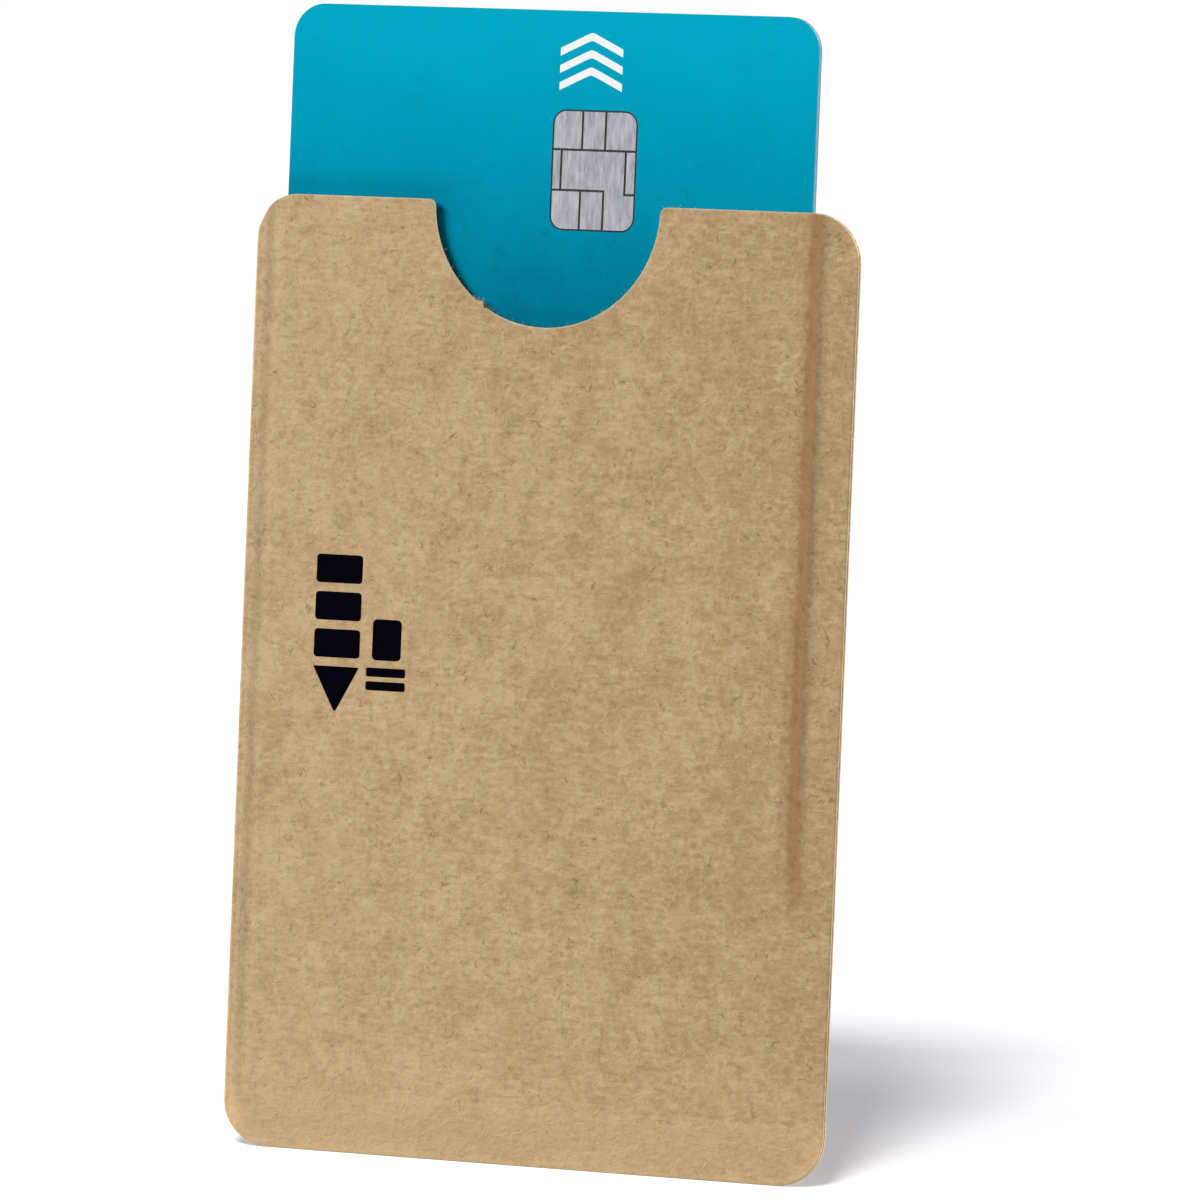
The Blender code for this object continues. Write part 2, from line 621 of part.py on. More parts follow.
def build_module(card):
    """The chip module: eight contacts on a carrier, with the die and its resin behind."""
    carrier = prism("chip_carrier", module_outline(0), carrier_front, carrier_back)
    add_piece(carrier, CARRIER_TAPE, card)

    pad_die = add_cutter(
        prism("contact_die", module_outline(PAD_RIM), -OVERRUN, PAD_THICKNESS + OVERRUN), card
    )
    module_left, module_top = module_x - MODULE_WIDTH / 2, module_z + MODULE_HEIGHT / 2
    for name, shares in CONTACT_SHARES.items():
        field = [
            (module_left + across * MODULE_WIDTH, module_top - down * MODULE_HEIGHT)
            for across, down in shares
        ]
        outline = inset_outline(field, PAD_ISOLATION / 2)
        contact = add_piece(prism(name, outline, 0, PAD_THICKNESS), CONTACT_METAL, card)
        cut(contact, pad_die, "INTERSECT")

    die_front = carrier_back + GLUE_LINE
    die = prism("chip_die", die_outline(0), die_front, die_front + DIE_THICKNESS)
    add_piece(die, SILICON, card)
    resin_mesh = prism("chip_resin", resin_outline(0), die_front, die_front + resin_depth)
    resin = add_piece(resin_mesh, RESIN, card)
    rounding = resin.modifiers.new("edge_round", "BEVEL")
    rounding.width = RESIN_EDGE_ROUND
    rounding.segments = 2
    rounding.limit_method = "ANGLE"
    hollow = prism(
        "die_hollow", die_outline(GLUE_LINE), die_front - OVERRUN,
        die_front + DIE_THICKNESS + GLUE_LINE,
    )
    cut(resin, add_cutter(hollow, card))

    glue_front, glue_back = carrier_back + GLUE_LINE, inlay_front - GLUE_LINE
    glue_outline = module_outline(MODULE_FIT_GAP)
    glue = add_piece(prism("module_adhesive", glue_outline, glue_front, glue_back), SEALANT, card)
    open_middle = prism(
        "adhesive_opening", module_outline(ADHESIVE_WIDTH), glue_front - OVERRUN,
        glue_back + OVERRUN,
    )
    cut(glue, add_cutter(open_middle, card))


def main():
    """Builds the sleeve where it stands, and the card on its slide."""
    clear_scene()
    build_sleeve()
    card = add_empty("card_slide", (card_x, card_front_y, card_foot_z))
    build_card_plies(card)
    build_card_back(card)
    build_antenna(card)
    build_module(card)


main()
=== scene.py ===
"""Looks of a kraft card sleeve with a smart card standing part way out of its mouth.

Lengths are in metres. X runs across the sleeve, Y from its front to its back, and Z up to
its mouth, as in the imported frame. What the frame can tell is read from it, and the other
sizes are fields of the class that uses them.
"""

import logging
import math
from collections.abc import Callable
from dataclasses import dataclass
from enum import Enum

import bpy
import numpy as np
from mathutils import Euler, Matrix, Vector


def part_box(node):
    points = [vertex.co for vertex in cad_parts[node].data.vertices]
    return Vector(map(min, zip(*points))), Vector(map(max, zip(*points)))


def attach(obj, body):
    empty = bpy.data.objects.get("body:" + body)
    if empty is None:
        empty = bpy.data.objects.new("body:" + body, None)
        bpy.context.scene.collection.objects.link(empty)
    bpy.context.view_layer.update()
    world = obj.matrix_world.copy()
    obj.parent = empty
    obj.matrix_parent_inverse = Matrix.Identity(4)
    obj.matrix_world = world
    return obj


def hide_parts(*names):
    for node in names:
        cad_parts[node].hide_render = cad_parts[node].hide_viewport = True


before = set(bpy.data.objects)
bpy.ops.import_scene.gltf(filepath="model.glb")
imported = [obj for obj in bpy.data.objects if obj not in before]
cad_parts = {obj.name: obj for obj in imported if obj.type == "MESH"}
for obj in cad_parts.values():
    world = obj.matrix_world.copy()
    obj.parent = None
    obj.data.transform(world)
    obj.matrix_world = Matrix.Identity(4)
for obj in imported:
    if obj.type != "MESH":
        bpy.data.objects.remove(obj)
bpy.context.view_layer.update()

log = logging.getLogger("card_sleeve")

MM = 0.001

Colour = tuple[float, float, float]
Span = tuple[float, float]
Stops = tuple[tuple[float, Colour], ...]


def tone(red: int, green: int, blue: int) -> Colour:
    """Turns a screen colour into the linear one that shaders use.

    Each channel c from 0 to 1 becomes ((c + 0.055) / 1.055) ** 2.4, or c / 12.92 near black.

    Args:
        red: Red from 0 to 255.
        green: Green from 0 to 255.
        blue: Blue from 0 to 255.

    Returns:
        The linear red, green and blue, each from 0 to 1.
    """
    channels = (level / 255 for level in (red, green, blue))
    return tuple(c / 12.92 if c < 0.04045 else ((c + 0.055) / 1.055) ** 2.4 for c in channels)


class Body(Enum):
    """The two bodies that the card's slide joins."""

    SLEEVE = "sleeve"
    CARD = "card"


class Signal:
    """A number, colour or vector inside a material. Arithmetic on it adds the nodes."""

    def __init__(self, recipe: "Recipe", socket: bpy.types.NodeSocket) -> None:
        """Keeps the recipe that it belongs to and the socket that it comes out of."""
        self.recipe = recipe
        self.socket = socket

    def _pair(self, operation: str, other: "Signal | float", swapped: bool = False) -> "Signal":
        """Joins this signal and another with one node.

        Args:
            operation: The Math or Vector Math operation.
            other: The second operand.
            swapped: Whether the other comes first.

        Returns:
            The joint result, a vector if either side is one.
        """
        sides = (other, self) if swapped else (self, other)
        flat = all(not isinstance(s, Signal) or s.socket.type == "VALUE" for s in sides)
        if not flat:
            sides = tuple(s if isinstance(s, Signal) else (s, s, s) for s in sides)
        kind = "ShaderNodeMath" if flat else "ShaderNodeVectorMath"
        return self.recipe.node(kind, {"operation": operation}, dict(enumerate(sides)))

    def __add__(self, other: "Signal | float") -> "Signal":
        """This plus another."""
        return self._pair("ADD", other)

    def __radd__(self, other: float) -> "Signal":
        """Another plus this."""
        return self._pair("ADD", other, swapped=True)

    def __sub__(self, other: "Signal | float") -> "Signal":
        """This less another."""
        return self._pair("SUBTRACT", other)

    def __rsub__(self, other: float) -> "Signal":
        """Another less this."""
        return self._pair("SUBTRACT", other, swapped=True)

    def __mul__(self, other: "Signal | float") -> "Signal":
        """This times another."""
        return self._pair("MULTIPLY", other)

    def __rmul__(self, other: float) -> "Signal":
        """Another times this."""
        return self._pair("MULTIPLY", other, swapped=True)

    def __abs__(self) -> "Signal":
        """This without its sign."""
        return self.recipe.node("ShaderNodeMath", {"operation": "ABSOLUTE"}, {0: self})

    def larger(self, other: "Signal | float") -> "Signal":
        """The larger of this and another."""
        return self._pair("MAXIMUM", other)

    def step(self, low: float, high: float) -> "Signal":
        """A smooth step from 0 at one level of this to 1 at another.

        Args:
            low: Where the step is 0, which may be the larger level.
            high: Where the step is 1.

        Returns:
            The step.
        """
        sockets = {"Value": self, "From Min": low, "From Max": high}
        return self.recipe.node(
            "ShaderNodeMapRange", {"interpolation_type": "SMOOTHSTEP"}, sockets
        )


class Recipe:
    """A material in the making: one shader, and the nodes that feed it."""

    MIX_SHARE, MIX_FIRST, MIX_SECOND, MIX_RESULT = 0, 6, 7, 2

    def __init__(self, name: str) -> None:
        """Starts a material that holds only its shader and output."""
        self.material = bpy.data.materials.new(name)
        self.material.use_nodes = True
        self.tree = self.material.node_tree
        self.shader = self.tree.nodes["Principled BSDF"]

    def node(
        self, kind: str, settings: dict | None = None, sockets: dict | None = None,
        output: int | str = 0,
    ) -> Signal:
        """Adds one node.

        Args:
            kind: The node's type.
            settings: Its properties, set first; "stops" fills a ramp with (place, colour).
            sockets: Values or signals by input name or number.
            output: Which output to read.

        Returns:
            The signal that comes out of it.
        """
        made = self.tree.nodes.new(kind)
        for name, value in (settings or {}).items():
            if name == "stops":
                self._fill_ramp(made.color_ramp, value)
            else:
                setattr(made, name, value)
        for name, value in (sockets or {}).items():
            self._plug(made.inputs[name], value)
        return Signal(self, made.outputs[output])

    def _fill_ramp(self, ramp: bpy.types.ColorRamp, stops: tuple) -> None:
        """Gives a ramp its stops.

        Args:
            ramp: The ramp.
            stops: Each a place from 0 to 1 and a colour.
        """
        while len(ramp.elements) < len(stops):
            ramp.elements.new(1.0)
        for element, (place, colour) in zip(ramp.elements, stops):
            element.position = place
            element.color = (*colour, 1.0)

    def _plug(self, socket: bpy.types.NodeSocket, value: object) -> None:
        """Links a signal to a socket, or sets the socket's own value.

        Args:
            socket: The input.
            value: A signal, number, colour or vector.
        """
        if isinstance(value, Signal):
            self.tree.links.new(value.socket, socket)
        elif socket.type == "RGBA" and len(value) == 3:
            socket.default_value = (*value, 1.0)
        else:
            socket.default_value = value

    def place(self) -> Signal:
        """The point's place on the piece, in metres."""
        return self.node("ShaderNodeTexCoord", output="Object")

    def axis(self, place: Signal, letter: str) -> Signal:
        """One coordinate of a place, by its letter."""
        return self.node("ShaderNodeSeparateXYZ", sockets={0: place}, output=letter)

    def attribute(self, name: str) -> Signal:
        """A number that the mesh carries at each point."""
        return self.node("ShaderNodeAttribute", {"attribute_name": name}, output="Fac")

    def stretched(self, place: Signal, scale: tuple, turn: tuple = (0, 0, 0)) -> Signal:
        """The place as read in a turned frame, in degrees, whose axes draw a pattern out."""
        sockets = {
            "Vector": place, "Scale": scale, "Rotation": tuple(math.radians(a) for a in turn),
        }
        return self.node("ShaderNodeMapping", {"vector_type": "TEXTURE"}, sockets)

    def noise(
        self, place: Signal, grain: float, detail: float = 2.0, rough: float = 0.5,
        warp: float = 0.0,
    ) -> Signal:
        """Soft noise from 0 to 1.

        Args:
            place: Where it is read.
            grain: The size of its lumps in metres.
            detail: How many finer layers it has.
            rough: How strong each finer layer is.
            warp: How much it folds back on itself.

        Returns:
            The noise.
        """
        sockets = {
            "Vector": place, "Scale": 1 / grain, "Detail": detail, "Roughness": rough,
            "Distortion": warp,
        }
        return self.node("ShaderNodeTexNoise", sockets=sockets)

    def threads(self, place: Signal, grain: float, width: float, share: float) -> Signal:
        """Short curved threads: thin level lines of one noise, where another noise is high.

        Args:
            place: Where they are read.
            grain: The size of the curls in metres.
            width: How wide the level line is, as a share of the noise's range.
            share: The level of the second noise over which a thread shows.

        Returns:
            A mask that is 1 on a thread.
        """
        line = abs(self.noise(place, grain, 1.5, 0.45, 0.6) - 0.5).step(width, 0.0)
        there = self.noise(place + 0.37, grain * 0.9, 0.0).step(share, share + 0.05)
        return line * there

    def blend(
        self, first: "Signal | Colour", second: "Signal | Colour", share: "Signal | float",
        how: str = "MIX",
    ) -> Signal:
        """Mixes two colours.

        Args:
            first: The colour at share 0.
            second: The colour at share 1.
            share: How much of the second shows.
            how: The blend type.

        Returns:
            The mixed colour.
        """
        settings = {"data_type": "RGBA", "blend_type": how, "clamp_factor": True}
        sockets = {self.MIX_SHARE: share, self.MIX_FIRST: first, self.MIX_SECOND: second}
        return self.node("ShaderNodeMix", settings, sockets, self.MIX_RESULT)

    def relief(self, height: Signal, depth: float, strength: float = 1.0) -> Signal:
        """A normal that follows a height from 0 to 1.

        Args:
            height: The height.
            depth: How deep a height of 1 is, in metres.
            strength: How strongly it shows.

        Returns:
            The normal.
        """
        sockets = {"Height": height, "Distance": depth, "Strength": strength}
        return self.node("ShaderNodeBump", sockets=sockets)

    def finished(self, sockets: dict) -> bpy.types.Material:
        """Feeds the shader's sockets and hands over the material.

        Args:
            sockets: Values or signals by the shader's input names.

        Returns:
            The material.
        """
        for name, value in sockets.items():
            self._plug(self.shader.inputs[name], value)
        return self.material


@dataclass(frozen=True)
class KraftFinish:
    """Unbleached board: mottled pulp with a fine grain across it and curled fibres.

    A span holds the place where a zone of the sheet starts to show and the one where it
    shows in full.
    """

    pulp: Colour = tone(206, 177, 135)
    deep: Colour = tone(168, 138, 98)
    warm: Colour = tone(182, 142, 98)
    fibre: Colour = tone(112, 80, 50)
    pale_fibre: Colour = tone(226, 202, 162)
    core: Colour = tone(218, 194, 150)
    # painted light: a paler, warmer colour on the bottom slope and seam, as if lit from the floor
    bottom_light: Colour = tone(240, 200, 146)
    # painted shade on the seam's slope and beside its crease
    slope_shade: Colour = tone(160, 124, 84)
    # painted shade, multiplied onto the fold's slope and the strip along the right-hand side edge
    fold_and_edge_shade: Colour = (0.63, 0.63, 0.63)
    grain: float = 0.40 * MM
    clump: float = 1.2 * MM
    cloud: float = 6.0 * MM
    stain: float = 4.0 * MM
    long_curl: float = 1.9 * MM
    short_curl: float = 0.9 * MM
    strand: float = 0.8 * MM
    tear: float = 0.7 * MM
    tooth: float = 0.12 * MM
    # Zones where painted light goes (seam, foot, slope) and where painted shade goes (fold, cut
    # side).
    seam: Span = (6.1 * MM, 5.3 * MM)
    foot: Span = (14 * MM, 7 * MM)
    slope_top: Span = (4.6 * MM, 3.4 * MM)
    slope_foot: Span = (0.9 * MM, 1.9 * MM)
    fold_slope: Span = (-27.9 * MM, -29.3 * MM)
    fold_round: Span = (-29.6 * MM, -30.9 * MM)
    fold_front: Span = (0.45 * MM, 0.30 * MM)
    fold_end: Span = (1.0 * MM, 5.2 * MM)
    cut_side: Span = (30.75 * MM, 30.97 * MM)

    def material(self) -> bpy.types.Material:
        """Mixes the board's material.

        The mesh's "cut" marks the die-cut edge and its "crease" the seam's slopes, where shade is
        painted.

        Returns:
            The material.
        """
        mix = Recipe("kraft_board")
        place = mix.place()
        across, back, up = (mix.axis(place, letter) for letter in "XYZ")
        fine = mix.noise(place, self.grain, 3.0, 0.55)
        drawn = mix.noise(mix.stretched(place, (2.8, 1, 1)), self.grain * 1.1, 2.0, 0.5)
        clump = mix.noise(place, self.clump, 3.0, 0.6, 0.8)
        cloud = mix.noise(place, self.cloud, 3.0, 0.55)
        mottle = fine * 0.20 + drawn * 0.27 + clump * 0.29 + cloud * 0.24
        seam = up.step(*self.seam) + up.step(*self.foot) * 0.5
        # Painted light: the board grows lighter towards the left, where the key lamp stands, and
        # a little lighter at the foot; the rest is the pulp's own mottle.
        mottle_and_light = mottle - across * 1.6 + seam * 0.04
        colour = mix.blend(self.deep, self.pulp, mottle_and_light.step(0.34, 0.66))
        stain = mix.noise(place + 0.11, self.stain, 3.0, 0.6).step(0.48, 0.72)
        colour = mix.blend(colour, self.warm, stain * 0.34)
        felt = self.felt(mix, place)
        colour = mix.blend(colour, self.pale_fibre, felt * 0.13)
        long_dark = mix.threads(place, self.long_curl, 0.012, 0.60)
        turned = mix.stretched(place, (1, 1, 1), (0, 50, 0))
        short_dark = mix.threads(turned, self.short_curl, 0.024, 0.60)
        dark = (long_dark * 0.55).larger(short_dark * 0.45)
        colour = mix.blend(colour, self.fibre, dark)
        # Painted shade: the fold's slope and the strip along the right-hand side edge are
        # multiplied darker, as if in shade.
        fold = across.step(*self.fold_slope) * up.step(*self.fold_end)
        fold = fold * (1.0 - across.step(*self.fold_round) * 0.80) * back.step(*self.fold_front)
        edge = across.step(*self.cut_side)
        colour = mix.blend(colour, self.fold_and_edge_shade, fold.larger(edge * 0.76), "MULTIPLY")
        ragged = mix.noise(mix.stretched(place, (1, 1, 1.4)), self.tear, 3.0, 0.6)
        # Painted shade: the seam's slope and the strip beside its crease are made darker, with
        # ragged edges.
        crease = mix.attribute("crease")
        slope_darkening = (crease + (ragged - 0.5) * 0.9).step(0.10, 0.95) * crease.step(0.0, 0.15)
        colour = mix.blend(colour, self.slope_shade, slope_darkening * 0.85)
        # Painted light: the bottom slope and the seam are made paler and warmer, standing in for
        # light from the floor below.
        slope = up.step(*self.slope_top) * up.step(*self.slope_foot)
        colour = mix.blend(colour, self.bottom_light, slope * 0.14 + seam * 0.15)
        # Painted shade: dark fibre flecks along the seam's slope.
        colour = mix.blend(colour, self.fibre, ragged.step(0.52, 0.72) * crease * 0.34)
        # The pale cut core shows less on the right-hand edge strip, which keeps its painted
        # shade.
        bare = mix.attribute("cut") * (0.55 + fine * 0.5)
        colour = mix.blend(colour, self.core, bare * (1.0 - edge * 0.6))
        height = fine * 0.18 + drawn * 0.50 + clump * 0.24 + felt * 0.14 - dark * 0.10
        return mix.finished({
            "Base Color": colour,
            "Roughness": 0.93,
            "Specular IOR Level": 0.2,
            "Normal": mix.relief(height, self.tooth, 0.7),
        })

    def felt(self, mix: Recipe, place: Signal) -> Signal:
        """Matted fibres, drawn out along three ways.

        Args:
            mix: The material in the making.
            place: Where they are read.

        Returns:
            A mask that is 1 along the middle of a fibre.
        """
        felt = None
        for turn in (14, 76, 131):
            laid = mix.stretched(place, (2.4, 1, 1), (0, turn, 0))
            strands = mix.threads(laid, self.strand, 0.09, 0.47)
            felt = strands if felt is None else felt.larger(strands)
        return felt


@dataclass(frozen=True)
class InkFinish:
    """Flat print that sinks a little into what it is printed on."""

    name: str
    ink: Colour
    worn: Colour
    wear: float
    roughness: float
    grain: float = 0.16 * MM
    tooth: float = 0.02 * MM

    def material(self) -> bpy.types.Material:
        """Mixes the ink's material.

        Returns:
            The material.
        """
        mix = Recipe(self.name)
        place = mix.place()
        fine = mix.noise(place, self.grain, 3.0, 0.6)
        colour = mix.blend(self.ink, self.worn, fine.step(0.52, 0.74) * self.wear)
        return mix.finished({
            "Base Color": colour,
            "Roughness": self.roughness,
            "Specular IOR Level": 0.01,
            "Normal": mix.relief(fine, self.tooth, 0.5),
        })


@dataclass(frozen=True)
class FoilFinish:
    """Thin aluminium foil with fine crinkles and rolling lines."""

    bright: Colour = tone(222, 223, 226)
    dull: Colour = tone(196, 198, 203)
    rolling: float = 0.12 * MM
    crinkle: float = 3.2 * MM
    tooth: float = 0.25 * MM

    def material(self) -> bpy.types.Material:
        """Mixes the foil's material.

        Returns:
            The material.
        """
        mix = Recipe("foil_liner")
        place = mix.place()
        rolled = mix.noise(mix.stretched(place, (1, 1, 33)), self.rolling, 2.0, 0.6)
        crinkle = mix.noise(place, self.crinkle, 4.0, 0.6, 1.2)
        folds = abs(crinkle - 0.5).step(0.05, 0.0)
        height = crinkle * 0.7 + rolled * 0.06 + folds * 0.2
        return mix.finished({
            "Base Color": mix.blend(self.dull, self.bright, rolled.step(0.3, 0.7)),
            "Metallic": 1.0,
            "Roughness": 0.26 + folds * 0.14 + rolled * 0.10,
            "Normal": mix.relief(height, self.tooth, 0.6),
        })


@dataclass(frozen=True)
class CardFinish:
    """Printed plastic whose blue deepens from the card's top to its foot; the deepest blue low
    down is partly print and partly painted shade in the notch.
    """

    name: str
    stops: Stops
    foot_z: float
    top_z: float
    roughness: float = 0.42
    drift: float = 9.0 * MM
    sway: float = 10.0 * MM
    lean: float = 0.02
    haze: float = 1.5 * MM
    grain: float = 0.11 * MM
    tooth: float = 0.010 * MM
    # a band of painted shade on the card just over the mouth, at its left
    mouth_shade_top: Span = (94.0 * MM, 92.0 * MM)
    mouth_shade_foot: Span = (88.0 * MM, 91.0 * MM)
    mouth_shade_side: Span = (-5.0 * MM, -14.0 * MM)

    def material(self) -> bpy.types.Material:
        """Mixes the card's material, with a band of painted shade just over the sleeve's mouth at
        one side.

        Returns:
            The material.
        """
        mix = Recipe(self.name)
        place = mix.place()
        across, up = mix.axis(place, "X"), mix.axis(place, "Z")
        drift = mix.noise(place, self.drift, 3.0, 0.6) * self.sway - self.sway / 2
        height = up + drift - across * self.lean
        share = mix.node("ShaderNodeMapRange", sockets={
            "Value": height, "From Min": self.foot_z, "From Max": self.top_z,
        })
        colour = mix.node("ShaderNodeValToRGB", {"stops": self.stops}, {"Fac": share})
        deep, light = self.stops[0][1], self.stops[-2][1]
        haze = mix.noise(place, self.haze, 5.0, 0.72, 0.5)
        fade_in = share.step(0.92, 0.70) * 0.75 + 0.25
        colour = mix.blend(colour, light, haze.step(0.54, 0.76) * fade_in * 0.24)
        colour = mix.blend(colour, deep, haze.step(0.48, 0.26) * fade_in * 0.28)
        # Painted shade: a darker band on the card just over the sleeve's mouth, at its left.
        mouth_shade = up.step(*self.mouth_shade_top) * across.step(*self.mouth_shade_side) * up.step(*self.mouth_shade_foot)
        colour = mix.blend(colour, deep, mouth_shade * 0.25)
        fine = mix.noise(place, self.grain, 2.0, 0.5)
        return mix.finished({
            "Base Color": colour,
            "Roughness": self.roughness + (haze - 0.5) * 0.16,
            "Specular IOR Level": 0.008,
            "Normal": mix.relief(fine, self.tooth, 0.5),
        })


@dataclass(frozen=True)
class PlainFinish:
    """A moulded, drawn or cast stuff with speckle, streaks along one way, and fine relief."""

    name: str
    light: Colour
    dark: Colour
    roughness: float
    metallic: float = 0.0
    grain: float = 0.2 * MM
    stretch: tuple[float, float, float] = (1.0, 1.0, 1.0)
    relief: float = 0.01 * MM
    specular: float = 0.4

    def material(self) -> bpy.types.Material:
        """Mixes the material.

        Returns:
            The material.
        """
        mix = Recipe(self.name)
        place = mix.place()
        streak = mix.noise(mix.stretched(place, self.stretch), self.grain, 3.0, 0.6)
        cloud = mix.noise(place, self.grain * 9, 2.0)
        share = (streak * 0.75 + cloud * 0.25).step(0.34, 0.66)
        return mix.finished({
            "Base Color": mix.blend(self.dark, self.light, share),
            "Metallic": self.metallic,
            "Roughness": self.roughness + (streak - 0.5) * 0.16,
            "Specular IOR Level": self.specular,
            "Normal": mix.relief(streak, self.relief, 0.5),
        })


@dataclass(frozen=True)
class SignatureFinish:
    """Pale writing film with a fine pattern of crossing waved lines."""

    film: Colour = tone(236, 237, 232)
    line: Colour = tone(168, 196, 206)
    soiled: Colour = tone(214, 214, 208)
    pitch: float = 0.9 * MM
    sway_rate: float = 1600.0
    grain: float = 0.08 * MM
    tooth: float = 0.015 * MM

    def material(self) -> bpy.types.Material:
        """Mixes the panel's material.

        Lines stand where a sine of the distance along a slant, shifted by another sine
        across it, is near its top. Two such sets cross.

        Returns:
            The material.
        """
        mix = Recipe("signature_film")
        place = mix.place()
        across, up = mix.axis(place, "X"), mix.axis(place, "Z")
        lines = None
        for lean in (0.5, -0.5):
            sway = mix.node("ShaderNodeMath", {"operation": "SINE"}, {0: across * self.sway_rate})
            phase = (up + across * lean) * (2 * math.pi / self.pitch) + sway * 0.8
            wave = mix.node("ShaderNodeMath", {"operation": "SINE"}, {0: phase})
            line = wave.step(0.90, 0.99)
            lines = line if lines is None else lines.larger(line)
        fine = mix.noise(place, self.grain, 3.0, 0.7)
        colour = mix.blend(self.film, self.line, lines * 0.55)
        return mix.finished({
            "Base Color": mix.blend(colour, self.soiled, fine.step(0.5, 0.8) * 0.4),
            "Roughness": 0.86,
            "Specular IOR Level": 0.3,
            "Normal": mix.relief(fine, self.tooth, 0.6),
        })


def corner_numbers(rows: int, columns: int) -> np.ndarray:
    """Numbers the corners of a grid's quads, where points are numbered row by row.

    Args:
        rows: How many rows of points there are.
        columns: How many points a row has.

    Returns:
        One line of four corner numbers for each quad.
    """
    first = np.arange(rows - 1)[:, None] * columns + np.arange(columns - 1)[None, :]
    quads = np.stack([first, first + 1, first + columns + 1, first + columns], axis=-1)
    return quads.reshape(-1, 4)


def unit(vectors: np.ndarray) -> np.ndarray:
    """Vectors of length 1 in the same directions."""
    return vectors / np.maximum(np.linalg.norm(vectors, axis=-1, keepdims=True), 1e-12)


def grid_normals(face: np.ndarray) -> np.ndarray:
    """Normals of a grid of points: the cross product of its second way and its first."""
    return unit(np.cross(np.gradient(face, axis=1), np.gradient(face, axis=0)))


def soft_ramp(along: np.ndarray, foot: float, shoulder: float) -> np.ndarray:
    """A ramp from 0 to 1 whose two corners are rounded.

    It is the value itself between 0 and 1, and within a distance r of either corner it is a
    parabola that meets the straight parts without a kink.

    Args:
        along: The distance along the ramp, as a share of its run.
        foot: The rounding at 0, as a share of the run.
        shoulder: The rounding at 1, as a share of the run.

    Returns:
        The height, from 0 to 1.
    """
    height = np.clip(along, 0, 1)
    low = (along > -foot) & (along < foot)
    high = (along > 1 - shoulder) & (along < 1 + shoulder)
    rise = np.where(low, (along + foot) ** 2 / (4 * foot), height)
    return np.where(high, 1 - (1 + shoulder - along) ** 2 / (4 * shoulder), rise)


def smooth_step(value: np.ndarray, low: float, high: float) -> np.ndarray:
    """A smooth step from 0 at low to 1 at high: 3 t^2 - 2 t^3 of the share t."""
    share = np.clip((value - low) / (high - low), 0, 1)
    return share * share * (3 - 2 * share)


def merged(gap: float, *runs: np.ndarray) -> np.ndarray:
    """Several runs of places as one rising run, without those closer than a gap."""
    places = np.sort(np.concatenate(runs))
    kept = np.concatenate([np.diff(places) > gap, [True]])
    return places[kept]


def corner_drop(past: np.ndarray, radius: float) -> np.ndarray:
    """How far a round corner draws an edge in: R - sqrt(R^2 - d^2) at d past its centre."""
    past = np.clip(past, 0, radius)
    return radius - np.sqrt(radius**2 - past**2)


RIM_CUT = (0.6, 0.9, 1, 1, 0.8, 0.5)
OUTLINE_CUT = 0.25


def closed_slab(
    outer: np.ndarray, normals: np.ndarray, depth: float, rim: float,
) -> tuple[np.ndarray, np.ndarray, np.ndarray]:
    """Closes a grid into a slab of one thickness with a rounded rim.

    The inner face is the outer one moved in along its normals. The rim's rings go out along
    a quarter circle, straight down, and in again along a quarter circle. Their outward way
    is the edge's own direction crossed with the normal.

    Args:
        outer: The outer face, as columns by rows by three.
        normals: Its outward normals.
        depth: The thickness.
        rim: The rim's rounding, by which the outline is also let out.

    Returns:
        The points, the faces, and how much each point belongs to the rim.
    """
    columns, rows = outer.shape[:2]
    count = columns * rows
    inner = outer - normals * depth
    number = np.arange(count).reshape(columns, rows)
    loop = np.concatenate([
        number[:, 0], number[-1, 1:], number[-2::-1, -1], number[0, -2:0:-1],
    ])
    edge, upward = outer.reshape(-1, 3)[loop], normals.reshape(-1, 3)[loop]
    along = unit(np.roll(edge, -1, axis=0) - np.roll(edge, 1, axis=0))
    outward = unit(np.cross(upward, along))
    side = outer[columns // 2, 0] - outer[columns // 2, 1]
    outward *= np.sign(np.dot(outward[columns // 2], side))
    bows = [(math.sin(a), 1 - math.cos(a)) for a in np.radians((30, 60, 90))]
    path = [(rim * out, rim * down) for out, down in bows]
    path += [(out, depth - down) for out, down in path[::-1]]
    rings = np.stack([edge + outward * out - upward * down for out, down in path])
    points = np.concatenate([outer.reshape(-1, 3), inner.reshape(-1, 3), rings.reshape(-1, 3)])
    quads = corner_numbers(columns, rows)
    laps = [loop]
    laps += [2 * count + k * loop.size + np.arange(loop.size) for k in range(len(path))]
    laps += [loop + count]
    sides = [
        np.stack([a, np.roll(a, -1), np.roll(b, -1), b], axis=-1) for a, b in zip(laps, laps[1:])
    ]
    faces = np.concatenate([quads, quads[:, ::-1] + count, *sides])
    first = points[faces[0]]
    if np.dot(np.cross(first[1] - first[0], first[2] - first[1]), normals[0, 0]) < 0:
        faces = faces[:, ::-1]
    cut = np.zeros(len(points), np.float32)
    cut[loop] = OUTLINE_CUT
    cut[2 * count:] = np.repeat(np.array(RIM_CUT, np.float32), loop.size)
    return points, faces, cut


